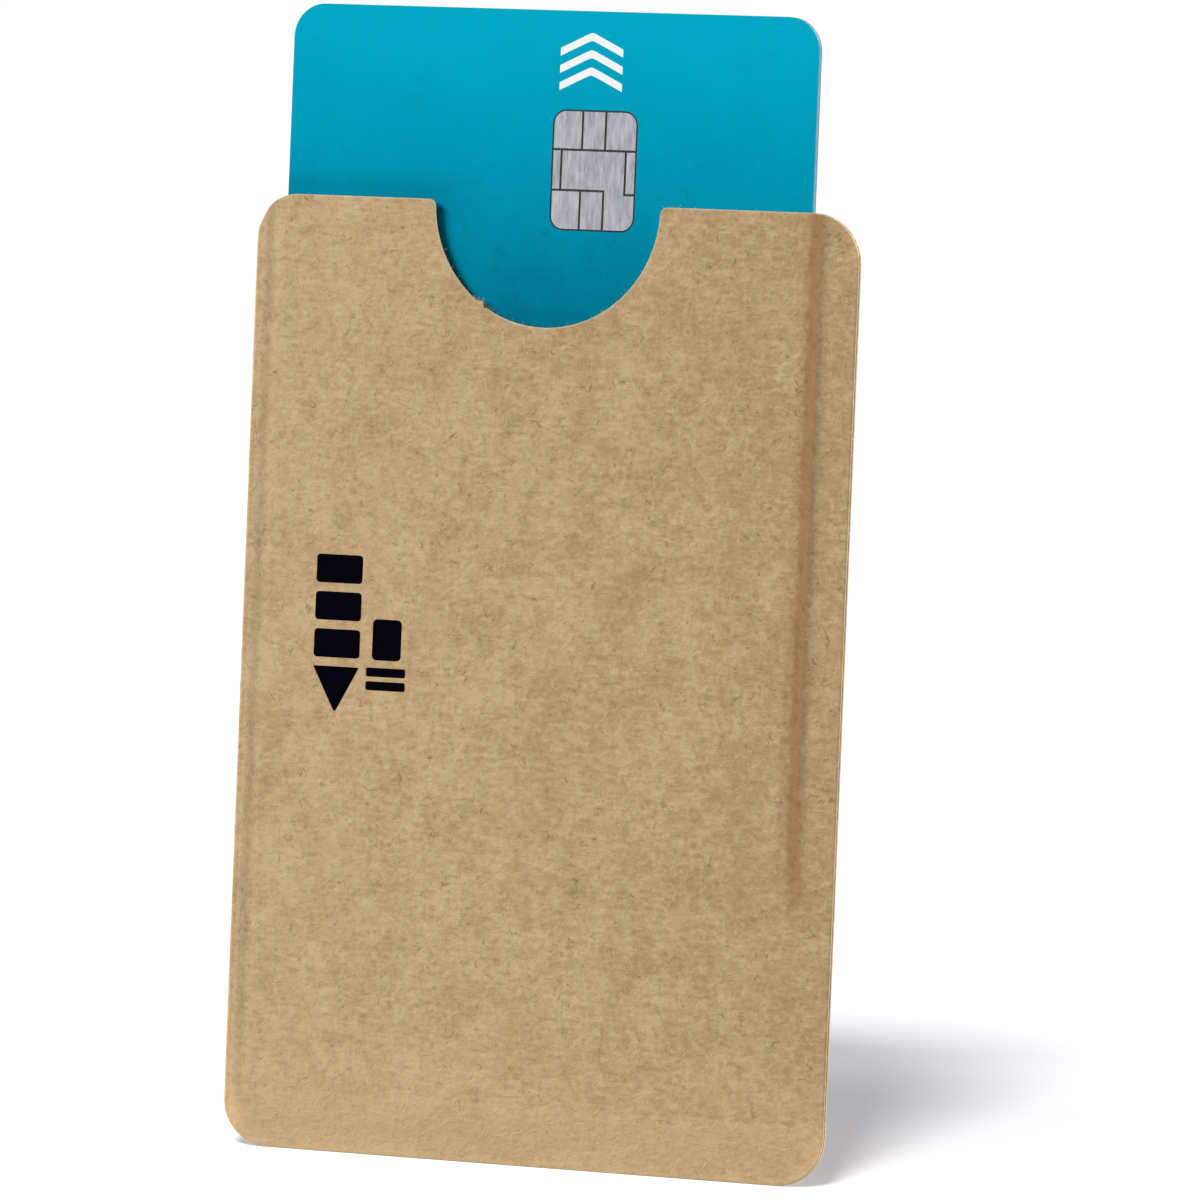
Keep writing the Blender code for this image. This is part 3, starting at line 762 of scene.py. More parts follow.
def add_piece(
    name: str, points: np.ndarray, faces: list[list[int]], material: bpy.types.Material,
    body: Body,
) -> bpy.types.Object:
    """Makes a piece from its points and faces, and puts it on its body.

    Args:
        name: The piece's name.
        points: Its points in the frame, in metres.
        faces: The corner numbers of its faces.
        material: What it is made of.
        body: The body that it rides on.

    Returns:
        The piece.
    """
    mesh = bpy.data.meshes.new(name)
    mesh.from_pydata(points.reshape(-1, 3).tolist(), [], faces)
    mesh.shade_smooth()
    mesh.materials.append(material)
    piece = bpy.data.objects.new(name, mesh)
    bpy.context.scene.collection.objects.link(piece)
    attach(piece, body.value)
    log.info("%s: %d points, %d faces", name, len(mesh.vertices), len(mesh.polygons))
    return piece


def carry(piece: bpy.types.Object, name: str, values: np.ndarray) -> None:
    """Gives each of a piece's points a number that its material can read."""
    piece.data.attributes.new(name, "FLOAT", "POINT").data.foreach_set("value", values)


@dataclass
class FoldedSheet:
    """The kraft sheet as one continuous shell, from the front's right edge round the fold
    to the back's right edge. Its first parameter runs along that way and its second up it."""

    corner: float = 4.7 * MM
    notch_x: float = -0.4 * MM
    notch_radius: float = 11.55 * MM
    notch_depth: float = 11.75 * MM
    lip_radius: float = 0.7 * MM
    nick_angle: float = 235.5
    nick_depth: float = 0.24 * MM
    rim: float = 0.045 * MM
    hug: float = 0.29 * MM
    gape_x: float = -13.0 * MM
    gape_width: float = 9.0 * MM
    gape_foot: float = 30.0 * MM
    gape_top: float = 2.0 * MM
    gape_base: float = 0.3
    wave: float = 0.008 * MM
    sines: tuple[tuple[float, float, float], ...] = (
        (260, 130, 0.7), (-90, 310, 2.1), (170, -220, 4.0),
    )
    side_rounding: Span = (0.30, 0.50)
    fold_rounding: Span = (0.20, 0.60)
    bottom_rounding: Span = (0.30, 0.45)
    middle_z: float = 12.0 * MM
    column_lift: float = 28.0 * MM
    column_lean: float = 12.0 * MM
    least_gap: float = 0.02 * MM
    crease_inset: float = 0.35 * MM
    loose: Span = (34.0 * MM, 17.0 * MM)
    loose_top: float = 0.33 * MM
    loose_foot: float = 2.85 * MM
    bottom_foot: float = 0.9 * MM
    bottom_run: float = 4.1 * MM
    # Where painted shade lies beside the seam's crease, and the heights over which it fades in.
    shade_inset: float = 0.5 * MM
    shade_width: float = 0.9 * MM
    fade_in: Span = (20.0 * MM, 32.0 * MM)
    foil_gap: float = 0.012 * MM
    foil_gauge: float = 0.03 * MM
    foil_rim: float = 0.01 * MM
    foil_inset: float = 0.12 * MM
    foil_side: float = 0.6 * MM
    foil_foot: float = 0.4 * MM

    def __post_init__(self) -> None:
        """Reads the sheet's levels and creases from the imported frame."""
        front_low, front_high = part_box("front_panel")
        flange_low, flange_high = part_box("side_flange")
        self.right, self.fold_x = flange_high.x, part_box("fold_bend")[1].x
        self.left_crease, self.right_crease = front_low.x, front_high.x
        self.seam_x, self.mouth = flange_low.x, front_high.z
        self.front_y, self.seam_y = front_low.y, flange_low.y
        self.back_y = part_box("back_panel")[1].y
        self.thickness = front_high.y - front_low.y
        self.crease_z = front_low.z

    def ends(self, x: np.ndarray, inset: float) -> np.ndarray:
        """How far the round corners draw in the sheet's ends at each place across it."""
        middle = self.right - self.corner
        return corner_drop(np.abs(x) - middle, self.corner - inset)

    def mouth_line(self, inset: float) -> tuple[np.ndarray, np.ndarray, np.ndarray]:
        """The mouth's edge between its two round corners, from right to left.

        Straight runs lead to a lip at each side of the notch: an arc of the lip's radius
        about a point one lip radius under the mouth. The notch itself is an arc about its
        centre, with a small torn nick in its radius.

        Args:
            inset: How far the outline is drawn in.

        Returns:
            X and Z of its points, and how far the grid's columns lean there, from -1 to 1.
        """
        radius, lip = self.notch_radius + inset, self.lip_radius - inset
        centre_z = self.mouth - self.notch_depth + self.notch_radius
        lip_z = self.mouth - self.lip_radius
        reach = radius + lip
        lip_x = math.sqrt(reach**2 - (lip_z - centre_z) ** 2)
        lean = math.degrees(math.asin((lip_z - centre_z) / reach))
        near_nick = np.linspace(self.nick_angle - 4, self.nick_angle + 7, 34)
        turns = merged(0.06, np.linspace(180 - lean, 360 + lean, 74), near_nick)[::-1]
        past_nick = turns - self.nick_angle
        torn = np.exp(-((past_nick / 1.1) ** 2)) - 0.6 * np.exp(-(((past_nick - 2.6) / 0.9) ** 2))
        radius = radius - self.nick_depth * torn
        sweep = np.radians(turns)
        notch_x = self.notch_x + radius * np.cos(sweep)
        notch_z = centre_z + radius * np.sin(sweep)
        bend = np.radians(np.linspace(90, 180 + lean, 7))[:-1]
        right_lip_x = self.notch_x + lip_x + lip * np.cos(bend)
        lip_rise = lip_z + lip * np.sin(bend)
        far = self.right - self.corner
        level = self.mouth - inset
        right_run = np.linspace(far, self.notch_x + lip_x, 27)[1:-1]
        left_run = np.linspace(self.notch_x - lip_x, -far, 28)[1:-1]
        x = np.concatenate([
            right_run, right_lip_x, notch_x, (2 * self.notch_x - right_lip_x)[::-1], left_run,
        ])
        z = np.concatenate([
            np.full(right_run.size, level), lip_rise, notch_z, lip_rise[::-1],
            np.full(left_run.size, level),
        ])
        toward = np.concatenate([
            smooth_step(right_run, far, right_run[-1]), np.ones(bend.size), np.cos(sweep),
            -np.ones(bend.size), -smooth_step(left_run, -far, left_run[0]),
        ])
        return x, z, toward

    def opened(self, x: np.ndarray, z: np.ndarray) -> np.ndarray:
        """How far the front stands open at each place, from 0 where it hugs the card to 1.

        It is a step up to the mouth, times a bell about the notch's left lip over a base.
        """
        bell = np.exp(-(((x - self.gape_x) / self.gape_width) ** 2))
        rise = smooth_step(z, self.mouth - self.gape_foot, self.mouth - self.gape_top)
        return rise * (self.gape_base + (1 - self.gape_base) * bell)

    def plateau(self, x: np.ndarray, z: np.ndarray) -> np.ndarray:
        """The front's raised part as a share: 0 on the seams and 1 on the flat.

        It is the product of three soft ramps: from the side seam, from the fold and from
        the bottom. Past the card's foot the side ramp grows wider and gentler.

        Args:
            x: Places across the front.
            z: Places up it.

        Returns:
            The share at each place.
        """
        loose = smooth_step(z, *self.loose)
        top = self.right_crease - self.crease_inset + self.loose_top * loose
        foot = self.seam_x - self.crease_inset + self.loose_foot * loose
        side = soft_ramp((foot - x) / (foot - top), *self.side_rounding)
        run = self.left_crease - self.fold_x
        fold = soft_ramp((x - self.fold_x) / run - 0.20, *self.fold_rounding)
        below = soft_ramp((z - self.bottom_foot) / self.bottom_run, *self.bottom_rounding)
        return side * fold * below

    def front_height(self, x: np.ndarray, z: np.ndarray) -> np.ndarray:
        """The depth of the front's outer face at each place.

        It is the seams' level plus the plateau's share of the way to the front. The front
        lies back where it hugs the card, and carries waves: three crossing sines, each with
        its rates across and up, and its phase.
        """
        swell = sum(np.sin(x * a + z * b + c) for a, b, c in self.sines)
        back = self.hug * (1 - self.opened(x, z)) + self.wave * (1 + swell / 3)
        return self.seam_y + (self.front_y + back - self.seam_y) * self.plateau(x, z)

    def columns(self, inset: float) -> tuple[np.ndarray, ...]:
        """The grid's columns from the front's right edge round to the back's right edge.

        Args:
            inset: How far the outline is drawn in.

        Returns:
            Each column's X at its foot, X and Z at its top, and its lean there.
        """
        far, reach = self.right - self.corner, self.corner - inset
        arc = far + reach * np.sin(np.radians(np.linspace(0, 90, 13)))
        slope = np.linspace(far, self.seam_x + self.crease_inset, 26)
        right_zone = merged(self.least_gap, arc, slope)[::-1]
        inner = -np.linspace(-self.fold_x, far, 34)
        left_zone = merged(self.least_gap, -arc[:5], inner)
        left_zone = left_zone[left_zone >= self.fold_x - 1e-9][::-1]
        x_top, z_top, toward = self.mouth_line(inset)
        steps = np.hypot(np.diff(x_top), np.diff(z_top))
        share = np.concatenate([[0], np.cumsum(steps)]) / steps.sum()
        x_foot = x_top[0] + (x_top[-1] - x_top[0]) * share
        radius = (self.back_y - self.seam_y) / 2
        turns = np.radians(np.linspace(-90, -270, 15))[1:-1]
        bend_x = self.fold_x + radius * np.cos(turns)
        self.bend_y = (self.seam_y + self.back_y) / 2 + radius * np.sin(turns)
        back_x = np.concatenate([-np.linspace(-self.fold_x, far, 12)[:-1],
                                 np.linspace(-far, far, 54), arc[1:]])
        self.bend_from = right_zone.size + x_foot.size + left_zone.size
        sides = [(x, x, self.mouth - inset - self.ends(x, inset), 0 * x)
                 for x in (right_zone, left_zone, bend_x, back_x)]
        zones = [sides[0], (x_foot, x_top, z_top, toward), *sides[1:]]
        return tuple(np.concatenate(parts)[:, None] for parts in zip(*zones))

    def outer_face(self, inset: float) -> np.ndarray:
        """The sheet's outer face as a grid of points.

        Up to the middle height a column stands straight. Over it, it is a cubic that leaves
        upwards and arrives at the mouth's edge at a slant, so that the columns fan out
        round the notch.

        Args:
            inset: How far the outline is drawn in.

        Returns:
            An array of columns by rows by three.
        """
        foot_x, top_x, top_z, toward = self.columns(inset)
        low = inset + self.ends(foot_x, inset)
        rows = merged(0.001, np.linspace(0, 0.5, 30), np.linspace(0.5, 1, 9))[None, :]
        lower_z = low + rows * (self.middle_z - low)
        rise = 1 - (1 - np.linspace(0, 1, 72)[None, 1:]) ** 1.25
        slant = np.radians(45) * toward
        near_x = top_x + self.column_lean * np.sin(slant)
        near_z = top_z - self.column_lean * np.cos(slant)
        parts = [(1 - rise) ** 3, 3 * rise * (1 - rise) ** 2, 3 * rise**2 * (1 - rise), rise**3]
        upper_x = (parts[0] + parts[1]) * foot_x + parts[2] * near_x + parts[3] * top_x
        upper_z = (
            parts[0] * self.middle_z + parts[1] * (self.middle_z + self.column_lift)
            + parts[2] * near_z + parts[3] * top_z
        )
        x = np.hstack([foot_x + 0 * rows, upper_x])
        z = np.hstack([lower_z, upper_z])
        y = self.front_height(x, z)
        bend_to = self.bend_from + self.bend_y.size
        y[self.bend_from:bend_to] = self.bend_y[:, None]
        y[bend_to:] = self.back_y
        return np.stack([x, y, z], axis=-1)

    def build(self, kraft: bpy.types.Material) -> bpy.types.Object:
        """Builds the kraft sheet.

        Args:
            kraft: The board's material.

        Returns:
            The piece.
        """
        face = self.outer_face(self.rim)
        normals = grid_normals(face)
        points, faces, cut = closed_slab(face, normals, self.thickness, self.rim)
        sheet = add_piece(
            "kraft_sheet", points, faces.tolist(), kraft, Body.SLEEVE
        )
        # The crease attribute carries the painted shade of the seam's slope.
        crease = np.zeros(len(points), np.float32)
        slope_shade = self.slope_shading(face[: self.bend_from])
        crease[: slope_shade.size] = slope_shade.ravel()
        carry(sheet, "cut", cut)
        carry(sheet, "crease", crease)
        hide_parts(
            "front_panel", "fold_slope", "fold_bend", "side_slope", "side_flange",
            "bottom_slope", "bottom_flange", "back_panel",
        )
        return sheet

    def slope_shading(self, front: np.ndarray) -> np.ndarray:
        """How much shade is painted on the seam's slope at each point of the front.

        It is 4 s (1 - s) of the plateau's share s, to the power 0.7, right of the middle,
        or a bell beside the crease where that is more. It fades out towards the foot.

        Args:
            front: The front's points, as columns by rows by three.

        Returns:
            The painted shade, from 0 to 1.
        """
        x, z = front[..., 0], front[..., 2]
        share = self.plateau(x, z)
        slope_shade = (4 * share * (1 - share)) ** 0.7 * (x > 0)
        beside = (x - self.right_crease + self.shade_inset) / self.shade_width
        return np.maximum(slope_shade, 0.45 * np.exp(-(beside**2))) * smooth_step(z, *self.fade_in)

    def line(self, foil: bpy.types.Material) -> bpy.types.Object:
        """Builds the foil behind the front, which follows the board's inner face.

        Args:
            foil: The foil's material.

        Returns:
            The piece.
        """
        face = self.outer_face(self.rim + self.foil_inset)
        face = face - grid_normals(face) * (self.thickness + self.foil_gap)
        foot_x = face[: self.bend_from, 0, 0]
        right, foot = self.right_crease - self.foil_side, self.crease_z + self.foil_foot
        inside = np.flatnonzero((foot_x < right) & (foot_x > self.left_crease))
        above = np.flatnonzero(face[inside[len(inside) // 2], :, 2] > foot)
        patch = face[inside[0]:inside[-1] + 1, above[0]:]
        points, faces, _ = closed_slab(
            patch, grid_normals(patch), self.foil_gauge, self.foil_rim
        )
        lining = add_piece(
            "front_foil", points, faces.tolist(), foil, Body.SLEEVE
        )
        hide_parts("front_liner")
        return lining


@dataclass
class EdgeFibres:
    """Fine pulp fibres that stand out of the die-cut mouth and notch, as curved tubes."""

    sheet: FoldedSheet
    count: int = 260
    longest: float = 0.55 * MM
    thickest: float = 0.011 * MM
    shortest: float = 0.25
    within: Span = (0.15, 0.85)
    sunk: float = 0.05 * MM
    mouth_band: float = 0.1 * MM
    mouth_share: float = 0.25
    nick_share: float = 5.0
    cut: float = 0.8
    rings: int = 6
    sides: int = 3
    seed: int = 11

    def build(self, kraft: bpy.types.Material) -> bpy.types.Object:
        """Builds all fibres as one piece.

        Each is a curve root + t * out + t^2 * droop with three sides, which thins out to
        its tip, where t runs from 0 to 1.

        Args:
            kraft: The board's material.

        Returns:
            The piece.
        """
        chance = np.random.default_rng(self.seed)
        x, z, _ = self.sheet.mouth_line(0.0)
        along = unit(np.stack([np.gradient(x), 0 * x, np.gradient(z)], axis=-1))
        weight = np.where(z < self.sheet.mouth - self.mouth_band, 1.0, self.mouth_share)
        angle = np.degrees(np.arctan2(z - self.sheet.mouth, x - self.sheet.notch_x)) % 360
        past_nick = (angle - self.sheet.nick_angle + 2) / 4
        weight = weight + self.nick_share * np.exp(-(past_nick**2))
        pick = chance.choice(x.size, self.count, p=weight / weight.sum())
        front = self.sheet.front_height(x, z)[pick]
        depth = front + self.sheet.thickness * chance.uniform(*self.within, self.count)
        root = np.stack([x[pick], depth, z[pick]], axis=-1)
        out = np.cross(along[pick], np.array([0.0, 1.0, 0.0]))
        out *= np.where(out[:, 2:] < -0.2, -1, 1)
        root = root - out * self.sunk
        length = self.longest * chance.uniform(self.shortest, 1.0, self.count)[:, None] ** 1.6
        lean = chance.normal(0, 0.5, (self.count, 3)) * (1, 0.25, 1)
        droop = np.cross(lean, out) * 0.8
        rings, sides = self.rings, self.sides
        t = np.linspace(0, 1, rings)[None, :, None]
        way = (unit(out + lean) * length)[:, None]
        path = root[:, None] + way * t + (droop * length)[:, None] * t**2
        near, far = front + 2 * self.thickest, front + self.sheet.thickness - 2 * self.thickest
        path[..., 1] = np.clip(path[..., 1], near[:, None], far[:, None])
        tangent = unit(np.gradient(path, axis=1))
        side = unit(np.cross(tangent, np.array([0.3, 0.9, 0.2])))
        other = np.cross(tangent, side)
        radius = self.thickest * (1 - 0.8 * t)
        spin = np.arange(sides) * (2 * math.pi / sides)
        ring = path[:, :, None] + radius[..., None] * (
            side[:, :, None] * np.cos(spin)[:, None] + other[:, :, None] * np.sin(spin)[:, None]
        )
        start = np.arange(self.count)[:, None, None] * rings * sides
        first = start + np.arange(rings - 1)[None, :, None] * sides
        turn = np.arange(sides)
        after = (turn + 1) % sides
        quads = np.stack(
            [first + turn, first + after, first + sides + after, first + sides + turn], -1
        )
        tip = start[:, 0] + (rings - 1) * sides
        caps = np.concatenate([start[:, 0] + turn[::-1], tip + turn])
        faces = quads.reshape(-1, 4).tolist() + caps.tolist()
        piece = add_piece("edge_fibres", ring, faces, kraft, Body.SLEEVE)
        carry(piece, "cut", np.full(self.count * rings * sides, self.cut, np.float32))
        return piece


@dataclass(frozen=True)
class Lamp:
    """A far soft lamp. Its softness is how wide it looks, and its azimuth how far it stands to
    the right of the sleeve's front. These and its elevation are in degrees."""

    name: str
    strength: float
    softness: float
    azimuth: float
    elevation: float
    on_floor: bool = False

    def hang(self, floor: bpy.types.Object) -> None:
        """Hangs the lamp, and keeps its light on the floor alone or off it.

        Args:
            floor: The floor, where a lamp on the floor alone throws the shadow.
        """
        lamp = bpy.data.lights.new(self.name, "SUN")
        lamp.energy = self.strength
        lamp.angle = math.radians(self.softness)
        hung = bpy.data.objects.new(self.name, lamp)
        tilt, turn = math.radians(90 - self.elevation), math.radians(self.azimuth)
        hung.rotation_euler = Euler((tilt, 0, turn))
        bpy.context.scene.collection.objects.link(hung)
        lit = bpy.data.collections.new(self.name + "_lit")
        lit.objects.link(floor)
        hung.light_linking.receiver_collection = lit
        state = "INCLUDE" if self.on_floor else "EXCLUDE"
        lit.collection_objects[0].light_linking.link_state = state


@dataclass
class Studio:
    """A white floor, a soft key light, a lower one that draws the shadow, and the view."""

    aim: tuple[float, float, float] = (5.242 * MM, 2.379 * MM, 53.805 * MM)
    azimuth: float = 23.284
    elevation: float = 1.763
    roll: float = 2.305
    distance: float = 975.53 * MM
    lens: float = 310.06
    floor_size: float = 6.0
    floor_drop: float = 0.05 * MM
    floor_glow: float = 0.38
    floor_tint: Colour = (0.95, 0.94, 1.0)
    floor_tones: tuple[Colour, Colour] = (tone(246, 246, 248), tone(250, 250, 251))
    floor_mottle: float = 0.3
    sensor: float = 36.0
    clip: Span = (0.05, 20.0)
    sky: tuple[float, float] = (0.26, 0.04)
    lamps: tuple[Lamp, ...] = (
        Lamp("key", 4.58, 30, -54, 28),
        Lamp("side", 3.5, 12, 89, 10),
        Lamp("back", 2.6, 30, 150, 35),
        Lamp("grazing", 3.7, 9, 15, 28, on_floor=True),
        Lamp("high", 0.64, 12, 4, 40, on_floor=True),
    )

    def build(self) -> None:
        """Puts up the floor, the lights and the camera."""
        floor = self.lay_floor()
        for lamp in self.lamps:
            lamp.hang(floor)
        self.open_sky()
        self.set_camera()

    def lay_floor(self) -> bpy.types.Object:
        """A flat pale floor just under the sleeve, which glows a little to stay white.

        Returns:
            The floor.
        """
        half = self.floor_size / 2
        corners = np.array([[-half, -half], [half, -half], [half, half], [-half, half]])
        points = np.column_stack([corners, np.full(4, -self.floor_drop)])
        mesh = bpy.data.meshes.new("floor")
        mesh.from_pydata(points.tolist(), [], [(0, 1, 2, 3)])
        mix = Recipe("floor_paint")
        mottle = mix.noise(mix.place(), self.floor_mottle, 1.0)
        shade = mix.blend(*self.floor_tones, mottle)
        mesh.materials.append(mix.finished({
            "Base Color": shade, "Roughness": 0.9, "Specular IOR Level": 0.0,
            "Emission Color": self.floor_tint, "Emission Strength": self.floor_glow,
        }))
        floor = bpy.data.objects.new("floor", mesh)
        floor.visible_diffuse = False
        bpy.context.scene.collection.objects.link(floor)
        return floor

    def open_sky(self) -> None:
        """A pale sky, a little brighter below as over a white floor, that looks white itself."""
        world = bpy.data.worlds.new("sky")
        world.use_nodes = True
        nodes, links = world.node_tree.nodes, world.node_tree.links
        way = nodes.new("ShaderNodeTexCoord")
        parts = nodes.new("ShaderNodeSeparateXYZ")
        links.new(way.outputs["Generated"], parts.inputs[0])
        fade = nodes.new("ShaderNodeMapRange")
        for name, value in zip(("From Min", "From Max", "To Min", "To Max"), (-1, 1, *self.sky)):
            fade.inputs[name].default_value = value
        links.new(parts.outputs["Z"], fade.inputs["Value"])
        seen = nodes.new("ShaderNodeLightPath")
        level = nodes.new("ShaderNodeMapRange")
        level.inputs["To Max"].default_value = 1.0
        links.new(seen.outputs["Is Camera Ray"], level.inputs["Value"])
        links.new(fade.outputs[0], level.inputs["To Min"])
        nodes["Background"].inputs["Color"].default_value = (1, 1, 1, 1)
        links.new(level.outputs[0], nodes["Background"].inputs["Strength"])
        bpy.context.scene.world = world
        bpy.context.scene.view_settings.view_transform = "Standard"

    def set_camera(self) -> None:
        """A long lens at the photograph's angle: it looks back along azimuth and elevation
        at the point it aims at, and is rolled about its own axis."""
        a, e = math.radians(self.azimuth), math.radians(self.elevation)
        back = Vector((math.sin(a) * math.cos(e), -math.cos(a) * math.cos(e), math.sin(e)))
        lens = bpy.data.cameras.new("view")
        lens.lens = self.lens
        lens.sensor_width = self.sensor
        lens.clip_start, lens.clip_end = self.clip
        camera = bpy.data.objects.new("view", lens)
        turn = (-back).to_track_quat("-Z", "Y").to_matrix().to_4x4()
        turn = turn @ Matrix.Rotation(math.radians(self.roll), 4, "Z")
        camera.matrix_world = Matrix.Translation(Vector(self.aim) + back * self.distance) @ turn
        bpy.context.scene.collection.objects.link(camera)
        bpy.context.scene.camera = camera


@dataclass
class Print:
    """Plain marks in flat ink: each a thin slab of ink on the face under it.

    A mark's face is a grid over the width: at each place across it runs from a lower line
    to an upper line. A side bar holds the Z of its middle, its width, height and corner.
    """

    film: float = 0.006 * MM
    sunk: float = 0.004 * MM
    rim: float = 0.002 * MM
    mark_x: float = -20.5 * MM
    mark_top: float = 56.9 * MM
    mark_width: float = 4.8 * MM
    mark_height: float = 15.1 * MM
    bar_height: float = 2.7 * MM
    bar_gap: float = 0.85 * MM
    bar_corner: float = 0.35 * MM
    side_x: float = -15.3 * MM
    side_bars: tuple[tuple[float, ...], ...] = (
        (49.0 * MM, 3.0 * MM, 3.9 * MM, 0.45 * MM),
        (45.9 * MM, 4.1 * MM, 0.85 * MM, 0.2 * MM),
        (44.6 * MM, 4.1 * MM, 0.85 * MM, 0.2 * MM),
    )
    chip_x: float = 3.3 * MM
    chip_z: float = 104.45 * MM
    chevron_pitch: float = 1.62 * MM
    chevron_width: float = 6.4 * MM
    chevron_rise: float = 2.3 * MM
    chevron_stroke: float = 0.75 * MM

    def bar(self, width: float, height: float, corner: float) -> tuple[np.ndarray, ...]:
        """A round-cornered bar: X, and its lower and upper line, about its middle."""
        arc = width / 2 - corner + corner * np.sin(np.radians(np.linspace(0, 90, 9)))
        x = np.concatenate([-arc[::-1], np.linspace(-arc[0], arc[0], 12)[1:-1], arc])
        drop = corner_drop(np.abs(x) - (width / 2 - corner), corner)
        return x, drop - height / 2, height / 2 - drop

    def point_down(self, width: float, height: float) -> tuple[np.ndarray, ...]:
        """A triangle that points down, with blunt upper corners: its lower line rises with
        the distance from the middle."""
        x = np.linspace(-0.97, 0.97, 33) * width / 2
        low = np.sqrt((np.abs(x) * 2 / width) ** 2 + 0.0016) * height - height / 2
        return x, low, np.full(x.size, height / 2)

    def chevron(self, width: float, height: float, stroke: float) -> tuple[np.ndarray, ...]:
        """A stroke that rises to the middle and falls again, with square-cut ends."""
        x = np.linspace(-0.5, 0.5, 41) * width
        top = height / 2 - np.sqrt((np.abs(x) * 2 / width) ** 2 + 0.003) * (height - stroke)
        return x, top - stroke, top

    def stamp(
        self, name: str, shapes: list, face: Callable[[np.ndarray, np.ndarray], np.ndarray],
        ink: bpy.types.Material, body: Body,
    ) -> bpy.types.Object:
        """Lays several shapes on a face as one piece.

        Args:
            name: The piece's name.
            shapes: Each a centre X and Z with the shape's three lines.
            face: Gives the face's Y from X and Z.
            ink: What the mark is printed in.
            body: The body that it rides on.

        Returns:
            The piece.
        """
        all_points, all_faces, count = [], [], 0
        for centre_x, centre_z, (x, low, high) in shapes:
            share = np.linspace(0, 1, 13)[None, :]
            xs = centre_x + x[:, None] + 0 * share
            zs = centre_z + low[:, None] + (high - low)[:, None] * share
            grid = np.stack([xs, face(xs, zs) - self.film, zs], axis=-1)
            normals = np.zeros_like(grid)
            normals[..., 1] = -1.0
            points, faces, _ = closed_slab(grid, normals, self.film + self.sunk, self.rim)
            all_points.append(points)
            all_faces.append(faces + count)
            count += len(points)
        faces = np.concatenate(all_faces).tolist()
        return add_piece(name, np.concatenate(all_points), faces, ink, body)

    def on_sleeve(self, sheet: FoldedSheet, ink: bpy.types.Material) -> None:
        """Prints the insertion mark: three bars over a triangle, and a card over a slot.

        Args:
            sheet: The sheet that it is printed on.
            ink: The ink.
        """
        bar = self.bar(self.mark_width, self.bar_height, self.bar_corner)
        pitch = self.bar_height + self.bar_gap
        first = self.mark_top - self.bar_height / 2
        shapes = [(self.mark_x, first - k * pitch, bar) for k in range(3)]
        tall = self.mark_height - 3 * pitch
        middle = self.mark_top - self.mark_height + tall / 2
        shapes.append((self.mark_x, middle, self.point_down(self.mark_width, tall)))
        shapes += [(self.side_x, z, self.bar(*sizes)) for z, *sizes in self.side_bars]
        self.stamp(
            "insertion_mark", shapes, sheet.front_height, ink, Body.SLEEVE
        )

    def on_card(self, ink: bpy.types.Material) -> None:
        """Prints three chevrons over the chip, which point out of the sleeve.

        Args:
            ink: The ink.
        """
        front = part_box("front_overlay")[0].y
        mark = self.chevron(self.chevron_width, self.chevron_rise, self.chevron_stroke)
        shapes = [(self.chip_x, self.chip_z + k * self.chevron_pitch, mark) for k in (-1, 0, 1)]
        self.stamp(
            "chip_end_mark", shapes, lambda x, z: np.full_like(x, front), ink, Body.CARD,
        )


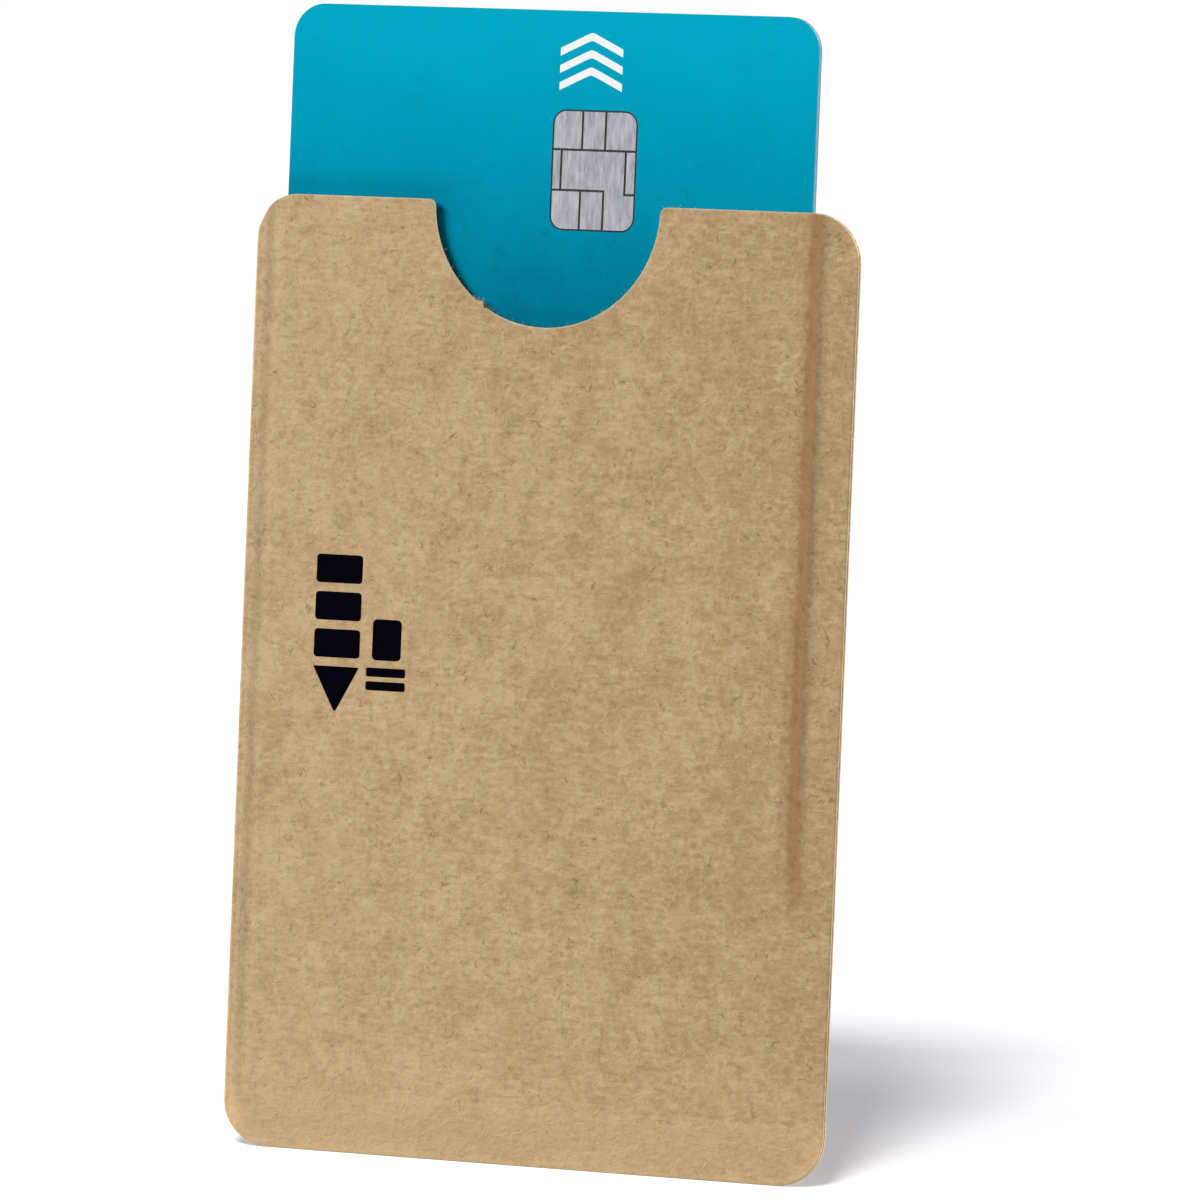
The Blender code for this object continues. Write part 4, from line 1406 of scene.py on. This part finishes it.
@dataclass(frozen=True)
class Card:
    """The card's plies and chip module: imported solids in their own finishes.

    Each finish stands beside what the names of the solids that wear it start with.
    """

    # The lowest, deepest stops are partly print and partly painted shade where the card sits in
    # the notch.
    front: Stops = (
        (0.0, tone(0, 84, 108)), (0.63, tone(0, 104, 130)), (0.72, tone(0, 133, 162)),
        (0.80, tone(0, 149, 180)), (0.88, tone(0, 160, 191)), (0.98, tone(0, 172, 203)),
    )
    back: Stops = (
        (0.0, tone(0, 84, 108)), (0.55, tone(0, 112, 140)), (0.80, tone(0, 134, 164)),
        (0.98, tone(0, 142, 172)),
    )
    plain: tuple[tuple[PlainFinish, tuple[str, ...]], ...] = (
        (PlainFinish("card_ply", tone(58, 134, 158), tone(44, 116, 140), 0.5),
         ("front_print", "back_print")),
        (PlainFinish("card_core", tone(122, 136, 144), tone(106, 120, 130), 0.55),
         ("antenna_inlay",)),
        (PlainFinish("contact_metal", tone(204, 205, 210), tone(178, 178, 186), 0.30, 0.60,
                     0.34 * MM, (1, 1, 5), 0.003 * MM),
         ("contact_",)),
        (PlainFinish("antenna_wire", tone(214, 140, 98), tone(186, 112, 74), 0.34, 1.0),
         ("antenna_coil",)),
        (PlainFinish("antenna_bump", tone(212, 212, 214), tone(178, 178, 182), 0.32, 1.0),
         ("outer_antenna_bump", "inner_antenna_bump")),
        (PlainFinish("carrier_tape", tone(26, 26, 30), tone(18, 18, 21), 0.6),
         ("chip_carrier",)),
        (PlainFinish("module_adhesive", tone(222, 208, 170), tone(204, 188, 148), 0.45),
         ("module_adhesive",)),
        (PlainFinish("chip_silicon", tone(98, 102, 112), tone(84, 88, 98), 0.2, 0.6),
         ("chip_die",)),
        (PlainFinish("chip_resin", tone(36, 36, 37), tone(26, 26, 27), 0.42),
         ("chip_resin",)),
        (PlainFinish("magnetic_film", tone(30, 30, 32), tone(20, 20, 22), 0.36, 0.0,
                     0.25 * MM, (1, 1, 50), 0.004 * MM, 0.5),
         ("magnetic_stripe",)),
    )

    def dress(self) -> None:
        """Gives every ply, film and metal piece its material."""
        low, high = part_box("front_overlay")
        worn = (
            (CardFinish("card_front", self.front, low.z, high.z), ("front_overlay",)),
            (CardFinish("card_back", self.back, low.z, high.z), ("back_overlay",)),
            (SignatureFinish(), ("signature_panel",)),
            *self.plain,
        )
        for finish, starts in worn:
            names = [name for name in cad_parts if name.startswith(starts)]
            dress_nodes(dict.fromkeys(names, finish.material()))


def dress_nodes(finishes: dict[str, bpy.types.Material]) -> None:
    """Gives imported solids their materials.

    Args:
        finishes: The material of each solid, by its name.
    """
    for name, material in finishes.items():
        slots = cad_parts[name].data.materials
        slots.clear()
        slots.append(material)
        log.info("%s: dressed in %s", name, material.name)


def main() -> None:
    """Builds the sleeve, the card and the studio, in that order."""
    logging.basicConfig(level=logging.INFO, format="%(name)s: %(message)s")
    kraft, foil = KraftFinish().material(), FoilFinish().material()
    seal = PlainFinish(
        "seal_adhesive", tone(232, 226, 204), tone(214, 206, 180), 0.5, grain=0.5 * MM
    ).material()
    black = InkFinish("black_ink", tone(3, 1, 9), tone(52, 42, 34), 0.08, 0.6).material()
    white = InkFinish("white_ink", tone(250, 252, 252), tone(226, 238, 241), 0.5, 0.5).material()
    sheet = FoldedSheet()
    sheet.build(kraft)
    sheet.line(foil)
    EdgeFibres(sheet).build(kraft)
    dress_nodes({"back_liner": foil, "side_seal": seal, "bottom_seal": seal})
    Card().dress()
    Print().on_sleeve(sheet, black)
    Print().on_card(white)
    Studio().build()


if __name__ == "__main__":
    main()
